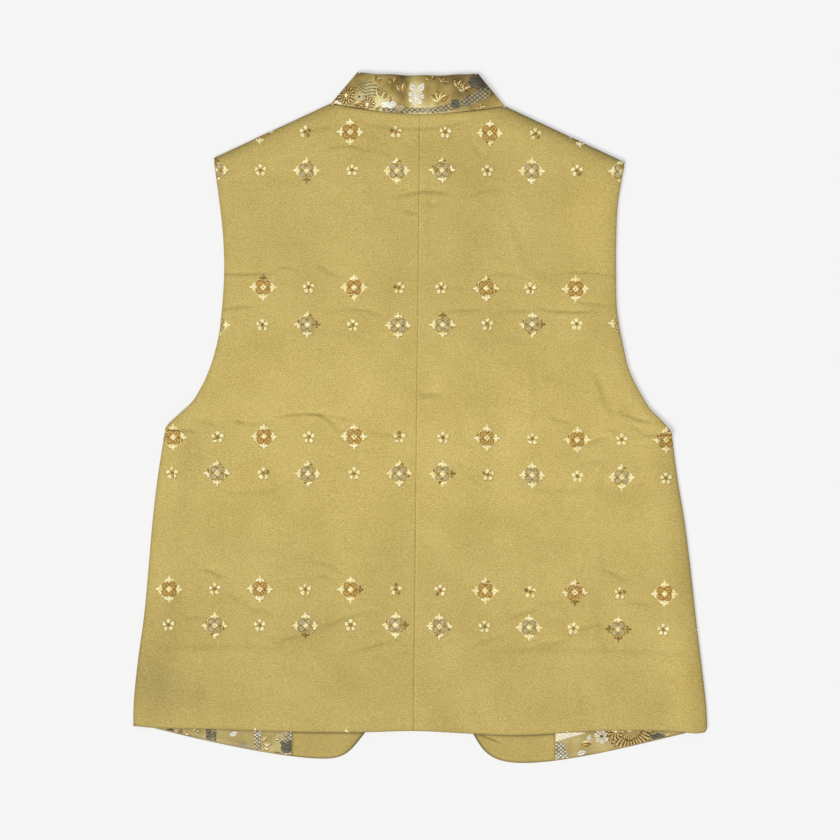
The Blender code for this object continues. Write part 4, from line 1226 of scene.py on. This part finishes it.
buttonShape = dict(
    count=5, low=190.0, high=505.0,
    slit=7.6,           # half the buttonhole's length, less its round ends
    beyond=3.5,         # the buttonhole's middle from the button's
    holes=1.45,         # from the middle to each hole, across and up
    holeWide=0.85, sunk=0.8,
    # the turned profile from the middle out and round to the back: radius and height above the floor
    profile=((0.05, 0.62), (0.7, 0.62), (1.2, 0.62), (1.6, 0.62), (2.0, 0.62), (2.4, 0.62), (2.9, 0.6),
             (3.6, 0.58), (4.6, 0.5), (5.3, 0.2), (5.9, 0.03), (6.6, 0.02), (7.2, 0.25), (7.5, 0.7),
             (7.4, 1.2), (6.9, 1.55), (5.0, 1.6), (0.05, 1.6)),
    dished=9)           # rings of it that the holes' dimples reach
buttonHeights = np.linspace(buttonShape["low"], buttonShape["high"], buttonShape["count"])
for half in halves:
    name = half["name"]
    runs = figureRuns(half, onBack, 0, 7 if name == "left" else 8)
    floatMesh(f"back_{name}_figures", runs, backPoint, half, smallKinds)
    runs = figureRuns(half, onFront, 12, 17 if name == "left" else 18, 270)
    floatMesh(f"front_{name}_figures", runs, frontPoint, half, smallKinds, -1)
runs = buttonholeRuns()
floatMesh("front_left_buttonholes", runs, frontPoint, leftHalf, smallKinds, -1)


# Figures of the collar and the lining: generic flowers, leaves, water lines and nets

def blossom(x, y, chart, at, size, turn=0, petals=5, kinds=("white", "grey", "amber")):
    # a rosette: rounded petals with a line down the middle of each, round a small heart
    u, w = x - at[0], y - at[1]
    r, angle = np.hypot(u, w), np.degrees(np.arctan2(u, w)) - turn
    sector = (angle + 180 / petals) % (360 / petals) - 180 / petals
    edge = size * (0.72 + 0.28 * np.cos(np.radians(sector * petals / 2)) ** 0.6)
    chart[r < edge] = kindOf[kinds[0]]
    chart[(r < 0.85 * edge) & (np.abs(sector) < 90 / petals * 0.22) & (r > 0.4 * size)] = kindOf[kinds[1]]
    chart[(np.abs(sector) > 180 / petals - 5 / np.maximum(r / size, 0.3)) & (r < edge) & (r > 0.3 * size)] = 0
    chart[r < 0.25 * size] = kindOf[kinds[2]]


def chrysanthemum(x, y, chart, at, size, turn=0, petals=13, kinds=("amber", "rust")):
    # two rows of long petals, dark between them, round a ringed heart
    u, w = x - at[0], y - at[1]
    r, angle = np.hypot(u, w), np.degrees(np.arctan2(u, w)) - turn
    for count, near, far in ((petals, 0.42, 1.0), (petals - 4, 0.16, 0.56)):
        sector = np.abs((angle + 180 / count) % (360 / count) - 180 / count) * count / 180
        edge = size * far * (1 - 0.16 * sector ** 2)
        chart[(r < edge) & (r > near * size)] = kindOf[kinds[1]]
        chart[(r < edge - 0.06 * size) & (r > near * size) & (sector < 0.5)] = kindOf[kinds[0]]
        chart[(r < edge - 0.1 * size) & (r > near * size) & (np.abs(sector - 0.26) < 0.1)] = kindOf["gold"]
    chart[r < 0.17 * size] = kindOf["gold"]


giltLeaf, whiteLeaf = ("amber", "rust", "gold"), ("white", "grey", "white")


def leaf(x, y, chart, at, size, turn, kinds=giltLeaf, slim=0.27):
    # a pointed leaf, its foot at the given place: dark along one side and its middle, bright on the other
    u, w = turnedBy(x - at[0], y - at[1], turn)
    part = np.clip(w / size, 0, 1)
    half = slim * size * np.sin(np.pi * part ** 0.8) ** 0.9
    inside = (w > 0) & (w < size) & (np.abs(u) < half)
    chart[(w > -0.4) & (w < size + 0.3) & (u > 0) & (u < half + 0.8)] = kindOf[kinds[1]]
    chart[inside] = kindOf[kinds[0]]
    chart[inside & (u < -0.45 * half)] = kindOf[kinds[2]]
    chart[inside & (np.abs(u) < 0.3) & (part > 0.1) & (part < 0.8)] = kindOf[kinds[1]]


def spray(x, y, chart, at, size, turns):
    # leaves that spread from one foot
    for turn in turns:
        leaf(x, y, chart, at, size * (1 - 0.12 * (turn % 3)), turn)


def net(x, y, chart, inside, cell=(5.4, 4.2), kinds=("black", "white", "grey"), seed=5):
    # a diagonal net, each mesh filled with one of two colours
    first, second = x / cell[0] + y / cell[1], x / cell[0] - y / cell[1]
    lines = np.minimum(np.abs((first + 0.5) % 1 - 0.5), np.abs((second + 0.5) % 1 - 0.5))
    picks = np.random.default_rng(seed).integers(0, 3, (64, 64))
    pick = picks[np.floor(first + 0.5).astype(int) % 64, np.floor(second + 0.5).astype(int) % 64]
    chart[inside] = np.where(pick == 0, kindOf[kinds[2]], kindOf[kinds[1]])[inside]
    chart[inside & (lines < 0.14)] = kindOf[kinds[0]]


def waterLines(x, y, chart, inside, spacing=3.2, kinds=("teal", "olive")):
    # long waves, one thread line after another
    phase = (y + 2.1 * np.sin(x / 4.6) + 1.2 * np.sin(x / 2.3 + 1)) / spacing
    line = np.abs((phase + 0.5) % 1 - 0.5)
    chart[inside & (line < 0.17)] = kindOf[kinds[0]]
    chart[inside & (line >= 0.17) & (line < 0.25)] = kindOf[kinds[1]]


def cloud(x, y, chart, at, size, seed, kind="slate"):
    # a ragged patch: an oval with an uneven edge
    u, w = (x - at[0]) / size[0], (y - at[1]) / size[1]
    chart[np.hypot(u, w) + 0.3 * softNoise(x, y, 3.5, seed) < 1] = kindOf[kind]


def drawAll(x, y, chart, *pieces):
    # draws one piece over another; each gives its function and what that takes after the chart
    for draw, *values in pieces:
        draw(x, y, chart, *values)


def collarBack(x, y):
    # the part that shows behind: flowers and water on the left, a blossom in the middle, leaves and
    # slate clouds on the right, with a net along the foot
    chart = np.zeros(x.shape, int)
    foot = 617.6 + 9 * (x / 86) ** 2
    rise = 0.0023 * np.maximum(x, 0) ** 2
    water = (x > -68) & (x < -34) & (y > 627 + 0.3 * (x + 66)) & (y < 652 - 0.6 * np.abs(x + 54))
    border = (x > -38) & (x < 80) & (y > foot + rise + 0.6) & (y < foot + 1.8 * rise + 6)
    drawAll(
        x, y, chart, (waterLines, water), (net, border, (5.2, 4.2), ("black", "ash", "grey")),
        (cloud, (-31, 626.5), (8, 3.4), 53, "white"), (cloud, (-20, 624), (5, 2.6), 54, "grey"),
        (cloud, (35, 627.5), (5.5, 4.2), 51), (cloud, (57, 650), (9.5, 8), 52),
        (cloud, (-79, 628.5), (8, 2.6), 56, "cream"),
        (chrysanthemum, (-74, 635.5), 9.8, 12, 15), (chrysanthemum, (-53, 626.5), 8.6, 30, 14),
        (leaf, (-66, 626), 7.5, 70), (leaf, (-46, 621.5), 7.5, 60),
        (blossom, (-61, 634), 5.0, 10, 7, ("grey", "cream", "slate")),
        (leaf, (-40, 634), 9, -24), (leaf, (-37, 633), 7, 24), (leaf, (-31, 629), 6, 8),
        (leaf, (-19, 641), 7, -40), (leaf, (-17, 640), 9, 12), (leaf, (-28, 648), 6, -50),
        (leaf, (-26, 648), 6.5, 20), (blossom, (-4, 634.5), 8.2, 36, 7, whiteLeaf),
        (leaf, (-6, 640), 9.5, -22, whiteLeaf, 0.3), (leaf, (-1, 640), 9.5, 26, whiteLeaf, 0.3),
        (spray, (20, 631), 10.0, (-66, -24, 16, 54)), (spray, (38, 645), 8.0, (-30, 30, 95)),
        (spray, (44, 641), 8.0, (-60, 0, 60)), (spray, (23, 650), 6.0, (-50, 20, 110)),
        (spray, (61, 623), 6.0, (-70, 10, 60)),
        (leaf, (-46, 650), 5.5, 10), (leaf, (-44, 650.5), 5.5, 70), (leaf, (9, 652), 5.5, -60),
        (leaf, (12, 652), 5.5, 30), (leaf, (70, 637), 5.5, 0))
    return chart


def collarBackPoint(_, signed, height):
    # a point of the collar behind, from either half
    left = collarLevel(leftHalf, -signed, height)
    right = collarLevel(rightHalf, signed, height)
    return np.stack([signed, height, np.where(signed < 0, left, right)], -1)


def onCollarBack(x, y):
    # true inside the collar's part behind
    inside = np.zeros(x.shape, bool)
    for half in halves:
        across = half["sign"] * x
        foot, _, _, inward = collarFold(half)
        fold = (across - foot[0]) * inward[0] + (y - foot[1]) * inward[1]
        inside |= ((across >= 0) & (fold > 0.35) & (y < collarTop(half, across) - 0.5)
                   & (y > backNeck(half, across) + 1.0))
    return inside


window = (-92, 90, 616, 661)    # left, right, low and high end of the collar's chart
x, y = chartPlaces(*window)
chart = np.where(onCollarBack(x, y), collarBack(x, y), 0)
runs = floatRuns(chart, window[0], window[2], 61)
floatMesh("collar_figures", runs, collarBackPoint, None, kindNames, 1)


def collarUnder(half, x, y):
    # the collar's front halves, on the side that lies down
    chart = np.zeros(x.shape, int)
    drawAll(
        x, y, chart, (chrysanthemum, (70, 612), 9.5, 10), (blossom, (52, 588), 7.0, 0, 6),
        (spray, (38, 572), 8.5, (-50, -10, 35, 80)), (net, (x > 6) & (x < 30) & (y > 551) & (y < 560)),
        (chrysanthemum, (18, 571), 7.5, 20, 11), (cloud, (60, 600), (6, 4), 55),
        *((blossom, (across, height), 3.0, across, 5, giltLeaf)
          for across, height in ((66, 628), (60, 640), (46, 600), (28, 577), (8, 563))))
    line = frontNeckline(half, 80)[::-1]
    high = bezier(collarFrontCurve(half), np.linspace(0.05, 1, 80))[::-1]
    low = np.interp(x, line[:, 0], line[:, 1])
    crest = np.where(x < high[-1, 0], np.interp(x, high[:, 0], high[:, 1]), 650)
    return np.where((x > 1.2) & (x < line[-1, 0] - 1) & (y > low + 1.4) & (y < crest - 1.4), chart, 0)


def collarUnderPoint(half, across, height):
    # a point of the collar's front halves, on the side that lies down
    return np.stack([across, height, overLap(half, across) + 0 * height], -1)


window = (0, 90, 545, 655)
for half in halves:
    runs = floatRuns(collarUnder(half, *chartPlaces(*window)), window[0], window[2], 62)
    floatMesh(
        f"collar_front_{half['name']}_figures", runs, collarUnderPoint, half, kindNames, -1)


def liningLeft(x, y):
    # net strips, a white leaf, gold leaves and slate clouds, from the side to the facing
    chart = np.zeros(x.shape, int)
    for low, high, fill in ((-236, -231, "slate"), (-208, -197, "slate"), (-159, -152, "white"),
                            (-130, -119.5, "white")):
        net(x, y, chart, (x > low) & (x < high), (4.4, 3.6), ("black", fill, "grey"))
    kinds = ("gold", "rust", "amber")
    leaves = ((-229, -4, 6, 100), (-222, -1, 6, 60), (-218, -1, 5, 100), (-153, -10, 8, 60),
              (-150, -14, 8, 90), (-150, -17, 7, 110), (-139, -9, 7, 30), (-139, -8, 6, 100),
              (-119, -22, 6, 60))
    drawAll(
        x, y, chart, (cloud, (-170, -15.5), (4.6, 2.6), 71, "ash"), (cloud, (-127, -17), (6.5, 6), 72),
        (cloud, (-244, -2), (5, 3), 73, "black"), (cloud, (-226, -8), (5, 2.2), 75, "black"),
        (cloud, (-139, -25), (7, 2.4), 76, "black"), (leaf, (-184, -6), 9.0, 68, whiteLeaf),
        *((leaf, (across, height), size, turn, kinds) for across, height, size, turn in leaves))
    return chart


def liningRight(x, y):
    # a cream corner, a net, white blossoms and leaves, a large gold chrysanthemum and slate
    chart = np.zeros(x.shape, int)
    net(x, y, chart, (x > 140) & (x < 156 - 0.3 * (y + 28)) & (y < -9.5), (4.4, 3.8))
    corner = (x > 140) & (y > -9.5) & (y < 1 - 0.02 * (x - 140)) & (y > -9.5 + 0.3 * (x - 140))
    chart[corner] = kindOf["cream"]
    drawAll(
        x, y, chart, (leaf, (168, -11), 10, 84), (leaf, (164, -21), 9, 74, whiteLeaf),
        (leaf, (174, -8), 7, 24, whiteLeaf), (blossom, (188, -3), 7.4, 20, 7, ("white", "grey", "slate")),
        (chrysanthemum, (216, 6), 25.0, 5, 34), (chrysanthemum, (202, 2), 9.0, 5, 12),
        (cloud, (245, -3), (8, 4), 74), (leaf, (252, -3), 6, 70))
    return chart


def liningPoint(half, across, height):
    # a point of a lining's inner face
    edge = lowerEdge(half, across) + insideShape["liningInset"]
    return np.stack([across, height, insideLevel(half["sign"] * across, height, height - edge)], -1)


for half in halves:
    window = (half["split"] + 1.0, half["widths"][0] - half["turn"] - 3.5, -34, 14)
    x, y = chartPlaces(*window)
    drawn = (liningLeft if half["sign"] < 0 else liningRight)(half["sign"] * x, y)
    drawn = np.where(y > lowerEdge(half, x) + insideShape["liningInset"] + 0.8, drawn, 0)
    runs = floatRuns(drawn, window[0], window[2], 63)
    floatMesh(
        f"lining_{half['name']}_figures", runs, liningPoint, half, kindNames, 1)


# Buttons, on the side that lies down

def buttonPoints(height):
    # a turned disc, face down: rings of a profile, with four dimples for the holes near the middle
    profile = np.array(buttonShape["profile"])
    angle = np.linspace(0, 2 * math.pi, 56, endpoint=False)
    r, z = profile[:, :1], profile[:, 1:]
    x, y = r * np.cos(angle), r * np.sin(angle)
    dimple = sum(np.exp(-(((x - a) ** 2 + (y - b) ** 2) / buttonShape["holeWide"] ** 2) ** 3)
                 for a in (-buttonShape["holes"], buttonShape["holes"])
                 for b in (-buttonShape["holes"], buttonShape["holes"]))
    z = z + buttonShape["sunk"] * dimple * (np.arange(len(profile)) < buttonShape["dished"])[:, None]
    points = np.stack([x, height + y, z], -1)
    numbers = numbered(x)
    quads = gridQuads(np.hstack([numbers, numbers[:, :1]])).tolist()
    return points.reshape(-1, 3), quads + [numbers[0][::-1].tolist(), numbers[-1].tolist()]


for number, height in enumerate(buttonHeights):
    points, faces = buttonPoints(height)
    piece = addMesh(f"button_{number + 1}_horn", points, faces, [horn])
    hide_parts(f"button_{number + 1}")
print("buttons made")


# Light and floor

light = dict(
    toward=(-2.9, -4.3, 5.2),   # where the key light comes from
    wide=31.0,                  # degrees that it fills, as a large softbox does
    power=2.85,
    world=0.33)                 # the even white light all round
key = bpy.data.objects.new("key", bpy.data.lights.new("key", "SUN"))
key.data.angle = math.radians(light["wide"])
key.data.energy = light["power"]
key.location = x, y, z = light["toward"]
key.rotation_euler = (math.atan2(math.hypot(x, y), z), 0, math.atan2(y, x) + math.pi / 2)
bpy.context.scene.collection.objects.link(key)
world = bpy.data.worlds.new("studio")
world.use_nodes = True
world.node_tree.nodes["Background"].inputs["Color"].default_value = (1.0, 1.0, 1.0, 1.0)
world.node_tree.nodes["Background"].inputs["Strength"].default_value = light["world"]
bpy.context.scene.world = world

# The floor is a light table, just below the cloth
sheet, depth = 40.0, -0.0003     # half its size, and its height, in metres
floorMesh = bpy.data.meshes.new("floor")
floorMesh.from_pydata([(-sheet, -sheet, depth), (sheet, -sheet, depth), (sheet, sheet, depth),
                       (-sheet, sheet, depth)], [], [(0, 1, 2, 3)])
floorMesh.materials.append(opal)
floor = bpy.data.objects.new("floor", floorMesh)
bpy.context.scene.collection.objects.link(floor)
print("light and floor set")
